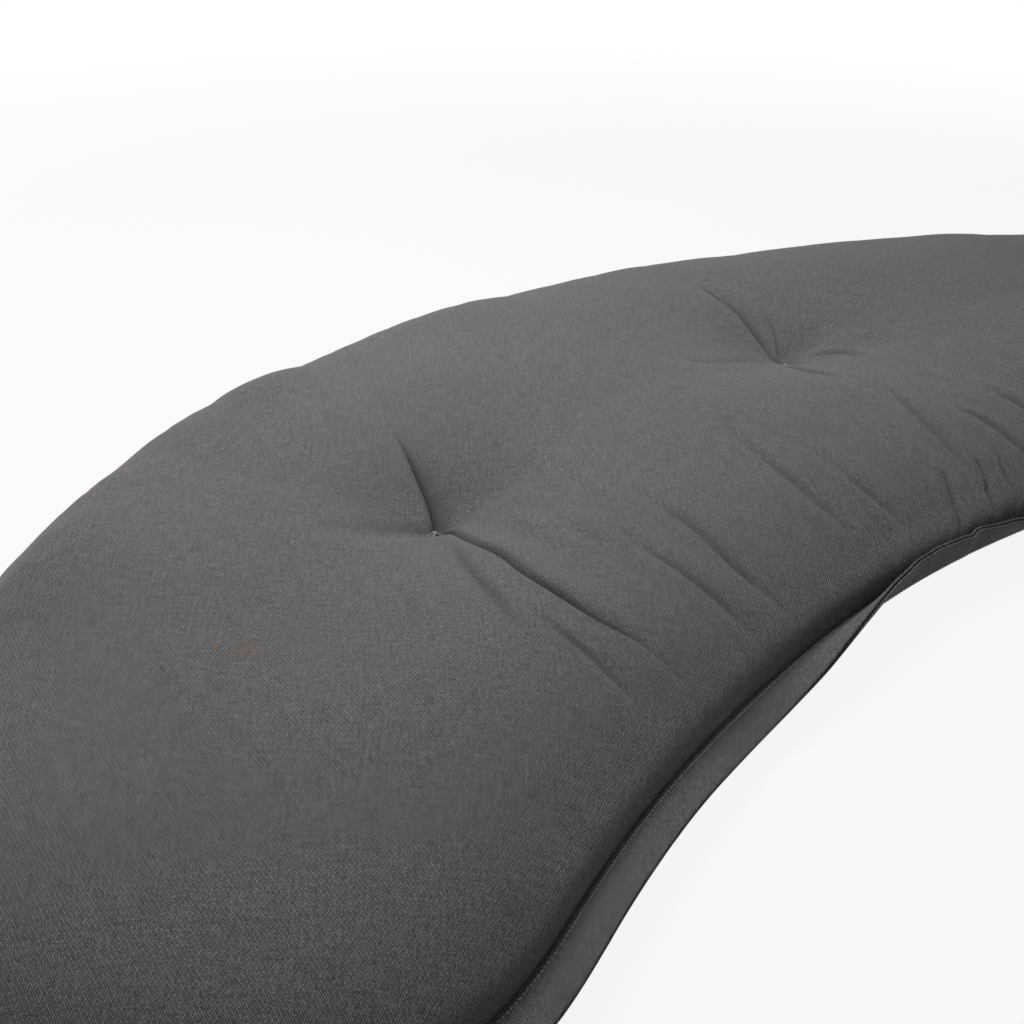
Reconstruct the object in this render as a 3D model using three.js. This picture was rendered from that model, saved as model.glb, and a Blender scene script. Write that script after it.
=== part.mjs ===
// Curved garden bench cushion: a filled, tufted pad with a stitched flange sewn all round its seam.
// Millimetres, +Z up, +X along the bench. The concave edge faces -Y and the origin lies under the
// middle of the whole cushion.
//
// A place on the pad is given by two numbers. "deg" is the angle about the centre of the concave
// seam, 0 on the middle line and positive towards -X. "across" runs from -1 on the concave seam to
// +1 on the convex seam.
import * as THREE from "three";
import { mergeVertices } from "three/addons/utils/BufferGeometryUtils.js";

// Plan of the seam
const PAD_DEPTH = 480;
const CONCAVE_RADIUS = 987;
const CONVEX_RADIUS = 811;
const END_DEG = 38.5;
const END_SQUARENESS = 2.8;

// Heights over the ground
const SEAM_HEIGHT = 20;
const CROWN_HEIGHT = 69.5;
const FRONT_FULLNESS = 3.3;
const BACK_FULLNESS = 2.6;
const NARROW_LOSS = 0.4;
const FLAT_SHARE = 0.82;
const FOOT_FULLNESS = 1.5;

// Tufts, evenly spaced on the line midway between the seams
const TUFT_PITCH_DEG = 17.7;
const TUFT_DEGS = [TUFT_PITCH_DEG, 0, -TUFT_PITCH_DEG];
const BOWL_DEPTH = 13;
const BOWL_REACH = 85;
const FUNNEL_DEPTH = 22;
const FUNNEL_REACH = 24;

// Flange: two layers of cover cloth, stitched together beside the seam
const FLANGE_WIDTH = 20.5;
const FLANGE_THICKNESS = 3;
const FLANGE_GAP = 0.3;
const FLANGE_BEND = 7;
const RIM_ROUNDING = 0.7;
const FLANGE_STEPS = [0, 4, 9, 19, FLANGE_WIDTH];
const DROOP_TILT = -30;

// How far the flange is turned up along the concave edge, in degrees above level
const FLANGE_LIE = [
  { deg: 30, tilt: 4 },
  { deg: 24, tilt: 6 },
  { deg: 21, tilt: -3 },
  { deg: 19, tilt: -2 },
  { deg: 17, tilt: 11 },
  { deg: 15, tilt: 31 },
  { deg: 13, tilt: 51 },
  { deg: 11, tilt: 67 },
  { deg: 8, tilt: 73 },
  { deg: 5, tilt: 60 },
  { deg: 1, tilt: 34 },
  { deg: -4, tilt: 12 },
  { deg: -10, tilt: 5 },
  { deg: -15, tilt: 28 },
  { deg: -20, tilt: 46 },
  { deg: -25, tilt: 16 },
  { deg: -30, tilt: -2 },
];

// Folds of the cover: soft troughs that run from a tuft, or up from the seam
const FOLDS = [
  { deg: 17.7, across: 0, toDeg: 11.4, toAcross: 0.96, depth: 5, width: 13 },
  { deg: 17.9, across: -0.04, toDeg: 21.4, toAcross: -0.95, depth: 6, width: 12 },
  { deg: 18.4, across: -0.1, toDeg: 26.6, toAcross: -0.9, depth: 5, width: 13 },
  { deg: 19.5, across: 0.02, toDeg: 25.6, toAcross: -0.45, depth: 3, width: 16 },
  { deg: 16.8, across: 0.02, toDeg: 12.8, toAcross: -0.16, depth: 3, width: 20 },
  { deg: 0.2, across: 0, toDeg: -3.2, toAcross: 0.96, depth: 5, width: 13 },
  { deg: 0.6, across: -0.02, toDeg: 6.4, toAcross: 0.05, depth: 4, width: 15 },
  { deg: -0.4, across: -0.05, toDeg: -5.2, toAcross: -0.3, depth: 4, width: 13 },
  { deg: 8.6, across: -0.36, toDeg: 11.6, toAcross: -0.97, depth: 3, width: 12 },
  { deg: 13, across: -0.3, toDeg: 16, toAcross: -0.96, depth: 3, width: 12 },
  { deg: 2.3, across: -0.5, toDeg: 4.2, toAcross: -0.98, depth: 4, width: 12 },
  { deg: -17.7, across: 0, toDeg: -12.2, toAcross: 0.96, depth: 5, width: 13 },
  { deg: -18, across: -0.06, toDeg: -21.6, toAcross: -0.94, depth: 5, width: 13 },
  { deg: -17.2, across: -0.06, toDeg: -13.4, toAcross: -0.92, depth: 4, width: 13 },
];

// Facets
const STATIONS_PER_PITCH = 19;
const STATIONS_TO_CAP = 32;
const CAP_STATIONS = 12;
const CROWN_RINGS = 16;
const SIDE_RINGS = 4;

const STATION_DEG = TUFT_PITCH_DEG / STATIONS_PER_PITCH;
const CAP_DEG = STATION_DEG * STATIONS_TO_CAP;
const SPINE_END_DEG = CAP_DEG + STATION_DEG * 2;
const CENTRE_SHIFT = CONCAVE_RADIUS + PAD_DEPTH - CONVEX_RADIUS;

const radians = THREE.MathUtils.degToRad;
const { clamp, lerp, smoothstep } = THREE.MathUtils;

/** Distance from the concave centre to the convex seam. */
function convexReach(deg) {
  const angle = radians(deg);
  const aside = CENTRE_SHIFT * Math.sin(angle);
  return CENTRE_SHIFT * Math.cos(angle) + Math.sqrt(CONVEX_RADIUS ** 2 - aside ** 2);
}

/** Plan point of a place, measured from the concave centre. */
function planPoint(deg, across) {
  const angle = radians(deg);
  const radius = lerp(CONCAVE_RADIUS, convexReach(deg), (1 + across) / 2);
  return new THREE.Vector2(-radius * Math.sin(angle), radius * Math.cos(angle));
}

/** Places along the rounded end on one side (side is 1 at -X and -1 at +X), concave to convex. */
function endPlaces(side) {
  const places = [];
  for (let k = 1; k < CAP_STATIONS; k += 1) {
    const turn = (Math.PI * k) / CAP_STATIONS;
    const out = Math.sin(turn) ** (2 / END_SQUARENESS);
    const over = Math.abs(Math.cos(turn)) ** (2 / END_SQUARENESS);
    places.push({
      deg: side * lerp(CAP_DEG, END_DEG, out),
      across: -Math.sign(Math.cos(turn)) * over,
      tilt: lerp(lieAt(side * CAP_DEG), DROOP_TILT, smoothstep(turn, 0, Math.PI)),
    });
  }
  return places;
}

/** Tilt of the flange at an angle on the concave edge, eased between the rows of its table. */
function lieAt(deg) {
  const after = FLANGE_LIE.findIndex((row) => row.deg <= deg);
  if (after <= 0) {
    return FLANGE_LIE.at(after).tilt;
  }
  const [from, to] = [FLANGE_LIE[after - 1], FLANGE_LIE[after]];
  return lerp(from.tilt, to.tilt, smoothstep(from.deg - deg, 0, from.deg - to.deg));
}

/** The seam's places in order, seen from above against the clock. */
function seamPlaces() {
  const concave = [];
  const convex = [];
  for (let k = -STATIONS_TO_CAP; k <= STATIONS_TO_CAP; k += 1) {
    const deg = k * STATION_DEG;
    concave.push({ deg: -deg, across: -1, tilt: lieAt(-deg) });
    convex.push({ deg, across: 1, tilt: DROOP_TILT });
  }
  return [...concave, ...endPlaces(-1), ...convex, ...endPlaces(1).reverse()];
}

/** Height of the plain crown, with no tufts, at a share of the way from the spine to a seam place. */
function crownHeight(spineDeg, share, place) {
  const narrowing = ((convexReach(spineDeg) - CONCAVE_RADIUS) / PAD_DEPTH) ** NARROW_LOSS;
  const rise = (CROWN_HEIGHT - SEAM_HEIGHT) * narrowing - FLANGE_THICKNESS / 2;
  const seamTop = SEAM_HEIGHT + FLANGE_THICKNESS / 2;
  const fullness = lerp(FRONT_FULLNESS, BACK_FULLNESS, (1 + place.across) / 2);
  return seamTop + rise * Math.sqrt(Math.max(0, 1 - share ** fullness));
}

/** How far the tufts draw the crown down at a plan point. */
function tuftDip(point) {
  let dip = 0;
  for (const deg of TUFT_DEGS) {
    const away = point.distanceTo(planPoint(deg, 0));
    dip += BOWL_DEPTH * Math.exp(-((away / BOWL_REACH) ** 2));
    dip += FUNNEL_DEPTH * Math.exp(-((away / FUNNEL_REACH) ** 1.2));
  }
  return dip;
}

/** How far the folds sink the crown at a plan point. */
function foldDip(point) {
  let dip = 0;
  for (const fold of FOLDS) {
    const start = planPoint(fold.deg, fold.across);
    const run = planPoint(fold.toDeg, fold.toAcross).sub(start);
    const offset = point.clone().sub(start);
    const along = offset.dot(run) / run.lengthSq();
    const aside = Math.abs(offset.cross(run)) / run.length();
    const fade = smoothstep(along, -0.05, 0.12) * (1 - smoothstep(along, 0.45, 1.05));
    dip += fold.depth * fade * Math.exp(-((aside / fold.width) ** 2));
  }
  return dip;
}

/** A ring of points at a share of the way from the spine (0) to the seam (1). */
function ring(places, share, heightOf) {
  return places.map((place) => {
    const spineDeg = clamp(place.deg, -SPINE_END_DEG, SPINE_END_DEG);
    const flat = planPoint(spineDeg, 0).lerp(planPoint(place.deg, place.across), share);
    return new THREE.Vector3(flat.x, flat.y, heightOf(flat, spineDeg, place));
  });
}

/** Height of the finished crown, whose dips fade out at the seam. */
function crownRing(places, share) {
  const hold = 1 - share ** 10;
  return ring(places, share, (flat, spineDeg, place) => {
    return crownHeight(spineDeg, share, place) - hold * (tuftDip(flat) + foldDip(flat));
  });
}

/** All rings of the pad from the spine, over the side and down to the edge of the flat base. */
function padRings(places) {
  const rings = [];
  for (let k = CROWN_RINGS; k >= 0; k -= 1) {
    rings.push(crownRing(places, (1 + Math.cos((Math.PI * k) / CROWN_RINGS)) / 2));
  }
  const seamFoot = SEAM_HEIGHT - FLANGE_THICKNESS / 2;
  for (let k = SIDE_RINGS; k >= 0; k -= 1) {
    const part = k / SIDE_RINGS;
    rings.push(ring(places, lerp(FLAT_SHARE, 1, part), () => seamFoot * part ** FOOT_FULLNESS));
  }
  return rings;
}

/** Adds a triangle to the list unless two of its corners coincide. */
function addTriangle(positions, a, b, c) {
  const same = 1e-4;
  if (a.distanceTo(b) < same || b.distanceTo(c) < same || c.distanceTo(a) < same) {
    return;
  }
  positions.push(...a.toArray(), ...b.toArray(), ...c.toArray());
}

/** Joins two closed rings of equal length; faces look away from the axis when low lies below. */
function addBand(positions, high, low) {
  const count = high.length;
  for (let k = 0; k < count; k += 1) {
    const next = (k + 1) % count;
    addTriangle(positions, high[k], low[k], low[next]);
    addTriangle(positions, high[k], low[next], high[next]);
  }
}

/** Closes the underside with one flat face. */
function addBase(positions, edge) {
  const contour = edge.map((point) => new THREE.Vector2(point.x, point.y));
  for (const [a, b, c] of THREE.ShapeUtils.triangulateShape(contour, [])) {
    addTriangle(positions, edge[a], edge[c], edge[b]);
  }
}

/** Makes a named mesh of loose triangles whose shared corners are merged. */
function clothMesh(name, positions, color, roughness) {
  const loose = new THREE.BufferGeometry();
  loose.setAttribute("position", new THREE.Float32BufferAttribute(positions, 3));
  const geometry = mergeVertices(loose, 1e-3);
  geometry.computeVertexNormals();
  const material = new THREE.MeshStandardMaterial({ color, roughness, metalness: 0 });
  const mesh = new THREE.Mesh(geometry, material);
  mesh.name = name;
  return mesh;
}

/** The filled pad: crown, drawn-in sides and flat base. */
function cushionPad(places) {
  const positions = [];
  const rings = padRings(places);
  for (let k = 1; k < rings.length; k += 1) {
    addBand(positions, rings[k - 1], rings[k]);
  }
  addBase(positions, rings.at(-1));
  return clothMesh("cushion_pad", positions, 0x63605f, 0.92);
}

/** Outward directions of the seam in plan, one for each place. */
function seamOutwards(places) {
  const points = places.map((place) => planPoint(place.deg, place.across));
  return points.map((point, k) => {
    const before = points.at(k - 1);
    const after = points[(k + 1) % points.length];
    const run = after.clone().sub(before).normalize();
    return new THREE.Vector2(run.y, -run.x);
  });
}

/** Corner points of the flange's section at one place, from its upper root round to its lower. */
function flangeSection(place, outward) {
  const root = planPoint(place.deg, place.across).addScaledVector(outward, FLANGE_GAP);
  const upper = [];
  const lower = [];
  let out = 0;
  let up = 0;
  FLANGE_STEPS.forEach((step, k) => {
    const from = k === 0 ? 0 : FLANGE_STEPS[k - 1];
    const middle = radians(place.tilt) * smoothstep((from + step) / 2, 0, FLANGE_BEND);
    out += (step - from) * Math.cos(middle);
    up += (step - from) * Math.sin(middle);
    const here = radians(place.tilt) * smoothstep(step, 0, FLANGE_BEND);
    const rim = k === FLANGE_STEPS.length - 1 ? RIM_ROUNDING : 0;
    const half = FLANGE_THICKNESS / 2 - rim;
    for (const [side, sign] of [[upper, 1], [lower, -1]]) {
      const flat = root.clone().addScaledVector(outward, out - sign * half * Math.sin(here));
      side.push(new THREE.Vector3(flat.x, flat.y, SEAM_HEIGHT + up + sign * half * Math.cos(here)));
    }
  });
  return [...upper, ...lower.reverse()];
}

/** The flange: one closed band of cloth round the seam. */
function edgeFlange(places) {
  const outwards = seamOutwards(places);
  const sections = places.map((place, k) => flangeSection(place, outwards[k]));
  const positions = [];
  const corners = sections[0].length;
  for (let k = 0; k < corners; k += 1) {
    const next = (k + 1) % corners;
    const high = sections.map((section) => section[k]);
    const low = sections.map((section) => section[next]);
    addBand(positions, high, low);
  }
  return clothMesh("edge_flange", positions, 0x5f5c5b, 0.92);
}

const places = seamPlaces();
const cushion = new THREE.Group();
cushion.add(cushionPad(places), edgeFlange(places));

const box = new THREE.Box3().setFromObject(cushion);
const middle = box.getCenter(new THREE.Vector3());
cushion.position.set(-middle.x, -middle.y, -box.min.z);

export default cushion;
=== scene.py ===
"""Curved garden bench cushion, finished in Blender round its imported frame.

The filled pad, its doubled flange, the topstitching and the tuft ties are built here in metres,
in the frame's own axes: +X along the cushion, +Y towards its convex back edge, +Z up.

A place on the cushion is given by two numbers, as in the part's own source. "deg" is the angle
about the centre of the concave seam, 0 on the middle line and positive towards -X. "across" runs
from -1 on the concave seam to +1 on the convex seam.
"""

import logging
import math
from dataclasses import dataclass, field
from enum import Enum

import bmesh
import bpy
import numpy as np
from mathutils import Matrix, Vector

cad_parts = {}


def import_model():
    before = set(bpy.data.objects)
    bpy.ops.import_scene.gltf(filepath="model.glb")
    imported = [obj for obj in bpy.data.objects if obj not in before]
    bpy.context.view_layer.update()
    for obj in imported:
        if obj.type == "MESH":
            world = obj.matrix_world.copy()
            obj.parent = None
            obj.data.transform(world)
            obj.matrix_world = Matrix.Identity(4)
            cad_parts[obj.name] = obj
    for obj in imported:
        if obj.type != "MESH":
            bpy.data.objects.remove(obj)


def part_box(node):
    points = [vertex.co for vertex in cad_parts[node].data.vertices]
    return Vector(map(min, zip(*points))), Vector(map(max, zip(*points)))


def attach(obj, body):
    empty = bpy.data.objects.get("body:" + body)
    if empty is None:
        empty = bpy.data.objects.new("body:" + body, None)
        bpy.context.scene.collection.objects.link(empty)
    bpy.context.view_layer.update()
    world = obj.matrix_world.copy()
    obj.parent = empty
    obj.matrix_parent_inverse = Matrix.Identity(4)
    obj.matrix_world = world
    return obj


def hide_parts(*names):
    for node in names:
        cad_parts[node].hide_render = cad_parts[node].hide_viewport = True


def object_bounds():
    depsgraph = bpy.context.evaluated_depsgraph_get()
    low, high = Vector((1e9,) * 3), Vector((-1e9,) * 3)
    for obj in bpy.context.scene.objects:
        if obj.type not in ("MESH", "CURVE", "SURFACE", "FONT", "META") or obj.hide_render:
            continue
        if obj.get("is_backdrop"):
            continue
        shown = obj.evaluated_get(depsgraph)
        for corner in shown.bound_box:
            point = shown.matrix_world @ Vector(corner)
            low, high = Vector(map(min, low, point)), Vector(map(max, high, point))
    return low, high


LOG = logging.getLogger("cushion")
MM = 0.001
BODY = "root"

# Height of the seam over the ground, in millimetres.
SEAM_HEIGHT = 20.0
# Points nearer than this, in metres, are one point.
SAME_PLACE = 0.01 * MM
# Points along each long edge and round each end: the pad, the edge's pieces, the filling's shell.
PAD_STATIONS = (268, 44)
EDGE_STATIONS = (480, 90)
SHELL_STATIONS = (170, 30)


# ---------------------------------------------------------------- plan and relief of the cushion


def smooth(value: np.ndarray, low: float, high: float) -> np.ndarray:
    """Eases numbers from 0 where they are low to 1 where they are high."""
    part = np.clip((value - low) / (high - low), 0.0, 1.0)
    return part * part * (3.0 - 2.0 * part)


@dataclass(frozen=True)
class SeamPlan:
    """The seam line seen from above: two arcs joined by rounded ends."""

    centre: tuple[float, float]
    pad_depth: float = 480 * MM
    concave_radius: float = 987 * MM
    convex_radius: float = 811 * MM
    end_deg: float = 38.5
    cap_deg: float = 29.81
    end_squareness: float = 2.8

    @classmethod
    def on_frame(cls) -> "SeamPlan":
        """Places the plan on the frame's pad.

        Returns:
            The plan whose convex seam touches the back of the pad's box.
        """
        low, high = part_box("cushion_pad")
        back = high.y - cls.concave_radius - cls.pad_depth
        return cls(centre=((low.x + high.x) / 2, back))

    def reach(self, deg: np.ndarray) -> np.ndarray:
        """Distance from the concave centre to the convex seam.

        Args:
            deg: Angles in degrees.

        Returns:
            Distances in metres.
        """
        shift = self.concave_radius + self.pad_depth - self.convex_radius
        angle = np.radians(deg)
        aside = shift * np.sin(angle)
        return shift * np.cos(angle) + np.sqrt(self.convex_radius**2 - aside**2)

    def point(self, deg: np.ndarray, across: np.ndarray) -> np.ndarray:
        """Plan points of places on the cushion.

        Args:
            deg: Angles in degrees.
            across: Places across the pad, from -1 to 1.

        Returns:
            An array whose last axis is x, y.
        """
        angle = np.radians(deg)
        span = self.reach(deg) - self.concave_radius
        radius = self.concave_radius + span * (1 + np.asarray(across)) / 2
        x = self.centre[0] - radius * np.sin(angle)
        y = self.centre[1] + radius * np.cos(angle)
        return np.stack([x, y], axis=-1)

    def distance(self, points: np.ndarray, deg: float, across: float = 0.0) -> np.ndarray:
        """Distances in metres of plan points from one place on the cushion."""
        return np.linalg.norm(points - self.point(deg, across), axis=-1)


def rounded_route(corners: np.ndarray, spacing: float) -> np.ndarray:
    """Runs a smooth curve through a few places.

    Args:
        corners: The places, in order.
        spacing: About how far apart the curve's points are, in the same unit.

    Returns:
        The curve's points.
    """
    before, after = 2 * corners[0] - corners[1], 2 * corners[-1] - corners[-2]
    padded = np.concatenate([[before], corners, [after]])
    pieces = []
    for a, b, c, d in zip(padded, padded[1:], padded[2:], padded[3:]):
        count = max(2, int(np.linalg.norm(c - b) / spacing))
        t = np.linspace(0, 1, count, endpoint=False)[:, None]
        bend = (2 * a - 5 * b + 4 * c - d) * t**2 + (3 * b - a - 3 * c + d) * t**3
        pieces.append(0.5 * (2 * b + (c - a) * t + bend))
    return np.concatenate([*pieces, corners[-1:]])


@dataclass(frozen=True)
class Fold:
    """A crease of the cover along a few places; a negative depth makes a ridge.

    The left and right widths are the reach of its two banks, seen along its run. The lift is the
    height of the roll of cloth that stands beside its left bank (or its right one, if negative),
    and roll is that roll's reach. The fold fades in up to start and out from hold, which are
    shares of its run. Flare widens it along the run, and roundness shapes its section.
    """

    path: tuple[tuple[float, float], ...]
    depth: float
    left: float
    right: float
    lift: float = 0.0
    roll: float = 6.0
    hold: float = 0.4
    start: float = 0.06
    flare: float = 0.5
    roundness: float = 1.35

    def height(self, plan: SeamPlan, points: np.ndarray) -> np.ndarray:
        """Height that the fold adds at plan points.

        Args:
            plan: The seam's plan.
            points: Plan points in metres, one to a row.

        Returns:
            Heights in metres, mostly negative.
        """
        near, along, aside = self.places(plan, points)
        widen = (1 - self.flare / 2) + self.flare * np.clip(along, 0.0, 1.0)
        width = np.where(aside > 0, self.left, self.right) * widen
        trough = -self.depth * np.exp(-(np.abs(aside / width) ** self.roundness))
        side = math.copysign(1.0, self.lift)
        bank = self.left if side > 0 else self.right
        off_roll = (side * aside / widen - bank - 0.7 * self.roll) / self.roll
        roll = abs(self.lift) * np.exp(-(off_roll**2))
        fade = smooth(along, -0.02, self.start) * (1 - smooth(along, self.hold, 1.03))
        heights = np.zeros(len(points))
        heights[near] = (trough + roll) * fade * MM
        return heights

    def places(self, plan: SeamPlan, points: np.ndarray) -> tuple[np.ndarray, np.ndarray, np.ndarray]:
        """Places of the plan points near the fold, along it and beside it.

        Args:
            plan: The seam's plan.
            points: Plan points in metres, one to a row.

        Returns:
            The near points' rows, their shares of the fold's run, and their distances to its
            left in millimetres.
        """
        route = rounded_route(plan.point(*np.array(self.path).T), 2 * MM)
        reach = 4 * max(self.left, self.right, self.roll * (self.lift != 0)) * MM
        inside = (points > route.min(axis=0) - reach) & (points < route.max(axis=0) + reach)
        near = np.flatnonzero(inside.all(axis=1))
        run = np.gradient(route, axis=0)
        run /= np.linalg.norm(run, axis=1, keepdims=True)
        steps = np.linalg.norm(np.diff(route, axis=0), axis=1)
        length = np.concatenate([[0.0], np.cumsum(steps)])
        offset = points[near, None] - route[None]
        closest = np.argmin((offset**2).sum(axis=-1), axis=1)
        offset = offset[np.arange(len(near)), closest]
        run = run[closest]
        along = (length[closest] + (offset * run).sum(axis=-1)) / length[-1]
        aside = (run[:, 0] * offset[:, 1] - run[:, 1] * offset[:, 0]) / MM
        return near, along, aside

    def near(self, plan: SeamPlan, points: np.ndarray, reach: float) -> np.ndarray:
        """Tells which points lie in the fold.

        Args:
            plan: The seam's plan.
            points: Plan points in metres, one to a row.
            reach: How many of its narrower bank's widths count.

        Returns:
            True for the points in the fold.
        """
        found = np.zeros(len(points), dtype=bool)
        near, along, aside = self.places(plan, points)
        found[near] = (along > -0.03) & (along < 0.97) & (np.abs(aside) < reach * self.slim() + 1)
        return found

    def slim(self) -> float:
        """The width of the fold's narrower bank in millimetres."""
        return min(self.left, self.right)


@dataclass(frozen=True)
class Swell:
    """A soft rise or dip of the filling round one place."""

    deg: float
    across: float
    rise: float
    reach: float

    def height(self, plan: SeamPlan, points: np.ndarray) -> np.ndarray:
        """Heights in metres that the swell adds at plan points."""
        away = plan.distance(points, self.deg, self.across)
        return self.rise * MM * np.exp(-((away / (self.reach * MM)) ** 2))


LEFT_TUFT = 17.7
MIDDLE_TUFT = 0.35
RIGHT_TUFT = -17.7
TUFTS = (LEFT_TUFT, MIDDLE_TUFT, RIGHT_TUFT)

# Creases that the tufts draw. A path's places are degrees and shares across; sizes are millimetres.
TUFT_FOLDS = (
    Fold(((17.7, 0.0), (17.4, 0.02), (16.9, 0.07), (16.4, 0.14), (15.9, 0.21), (15.1, 0.32)),
         depth=5.0, left=2.0, right=11, lift=1.2, hold=0.3, start=0.02),
    Fold(((17.7, 0.0), (17.4, 0.02), (16.9, 0.07), (16.4, 0.14), (15.9, 0.21), (15.0, 0.35)),
         depth=3.6, left=1.1, right=1.3, hold=0.45, start=0.02, flare=0.0, roundness=1.3),
    Fold(((16.2, 0.2), (13.8, 0.55), (11.4, 0.97)),
         depth=3.5, left=16, right=16, hold=0.5, start=0.4, roundness=2),
    Fold(((17.7, -0.01), (17.75, -0.06), (18.1, -0.11), (18.85, -0.21), (19.5, -0.32), (20.4, -0.44),
          (21.0, -0.56), (21.4, -0.68), (21.4, -0.79), (21.5, -0.88), (21.7, -0.96)),
         depth=5.4, left=1.6, right=1.3, lift=2.2, roll=8, hold=0.55, start=0.01, flare=0.7, roundness=1.6),
    Fold(((18.0, -0.04), (18.4, -0.08), (19.7, -0.2), (21.1, -0.33), (22.1, -0.44), (23.2, -0.55),
          (24.2, -0.66)),
         depth=3.0, left=2.2, right=2.8, lift=0.9, roll=8, hold=0.65, start=0.35, roundness=1.4),
    Fold(((21.7, -0.46), (22.1, -0.54), (22.6, -0.63), (22.9, -0.72), (23.3, -0.83), (23.7, -0.96)),
         depth=2.8, left=2.0, right=2.6, lift=0.9, roll=8, hold=0.65, start=0.45, roundness=1.4),
    Fold(((16.8, -0.12), (17.8, -0.29), (18.7, -0.43), (19.7, -0.57), (20.7, -0.71)),
         depth=2.4, left=9, right=5, lift=0.8, roll=9, hold=0.6, start=0.3, roundness=1.8),
    Fold(((22.3, -0.12), (23.0, -0.22), (24.1, -0.3), (25.7, -0.41)),
         depth=1.8, left=3.4, right=2.4, lift=0.5, hold=0.5, start=0.4, roundness=1.6),
    Fold(((17.9, 0.02), (19.9, 0.12), (21.1, 0.23)), depth=3, left=12, right=9, hold=0.3, roundness=2),
    Fold(((17.5, -0.01), (16.1, -0.05), (13.1, -0.12)),
         depth=4, left=22, right=12, hold=0.3, roundness=2),
    Fold(((0.65, 0.01), (0.35, 0.1), (0.05, 0.19), (-0.2, 0.28), (-0.35, 0.37), (-0.8, 0.52)),
         depth=5.5, left=1.3, right=6, lift=1.2, hold=0.45, start=0.04),
    Fold(((0.65, 0.01), (0.35, 0.1), (0.05, 0.19), (-0.2, 0.28), (-0.35, 0.37), (-0.8, 0.52)),
         depth=7.0, left=1.0, right=1.1, hold=0.6, start=0.04, flare=0.0, roundness=1.4),
    Fold(((0.15, 0.04), (-0.4, 0.11), (-0.9, 0.2), (-1.3, 0.31)),
         depth=1.9, left=1.3, right=2.6, hold=0.5, start=0.06),
    Fold(((0.4, 0.3), (-1.2, 0.6), (-3.2, 0.97)),
         depth=3.5, left=16, right=16, hold=0.5, start=0.4, roundness=2),
    Fold(((0.2, 0.01), (-1.4, 0.03), (-3.6, 0.08)),
         depth=4, left=22, right=9, hold=0.3, start=0.05, roundness=2),
    Fold(((1.5, -0.03), (2.9, -0.05), (4.1, -0.05), (5.3, 0.0), (6.8, 0.06)),
         depth=3.2, left=3.5, right=15, lift=1.2, roll=9, hold=0.15, start=0.02, roundness=1.6),
    Fold(((0.1, -0.04), (-0.4, -0.04), (-0.8, -0.08), (-0.9, -0.12), (-0.75, -0.18), (-0.2, -0.29)),
         depth=2.4, left=2.4, right=1.6, lift=0.9, roll=5, hold=0.45, start=0.4, roundness=1.7),
    Fold(((1.0, -0.05), (1.6, -0.1), (2.05, -0.17), (2.5, -0.25), (2.6, -0.31), (2.5, -0.39)),
         depth=4.4, left=1.6, right=1.2, lift=0.9, roll=5, hold=0.7, start=0.15, flare=0.0, roundness=1.5),
    Fold(((-17.7, 0.0), (-18.1, 0.06), (-19.2, 0.2), (-20.2, 0.38)),
         depth=6, left=7, right=1.6, lift=-1.2, hold=0.35, start=0.02),
    Fold(((-19.2, 0.2), (-16.0, 0.5), (-12.2, 0.97)),
         depth=3, left=16, right=16, hold=0.5, start=0.4, roundness=2),
    Fold(((-17.7, -0.02), (-18.4, -0.12), (-19.9, -0.4), (-21.2, -0.7), (-21.4, -0.93)),
         depth=6, left=1.7, right=3.4, lift=-2.4, roll=8, hold=0.4, start=0.02, roundness=1.5),
    Fold(((-17.6, -0.03), (-16.4, -0.2), (-14.6, -0.5), (-13.2, -0.9)),
         depth=3.6, left=1.8, right=3.2, lift=-1.2, hold=0.35, start=0.05, roundness=1.6),
    Fold(((-17.9, 0.02), (-22.4, 0.1)), depth=3.5, left=10, right=14, hold=0.25, roundness=2),
)

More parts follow.
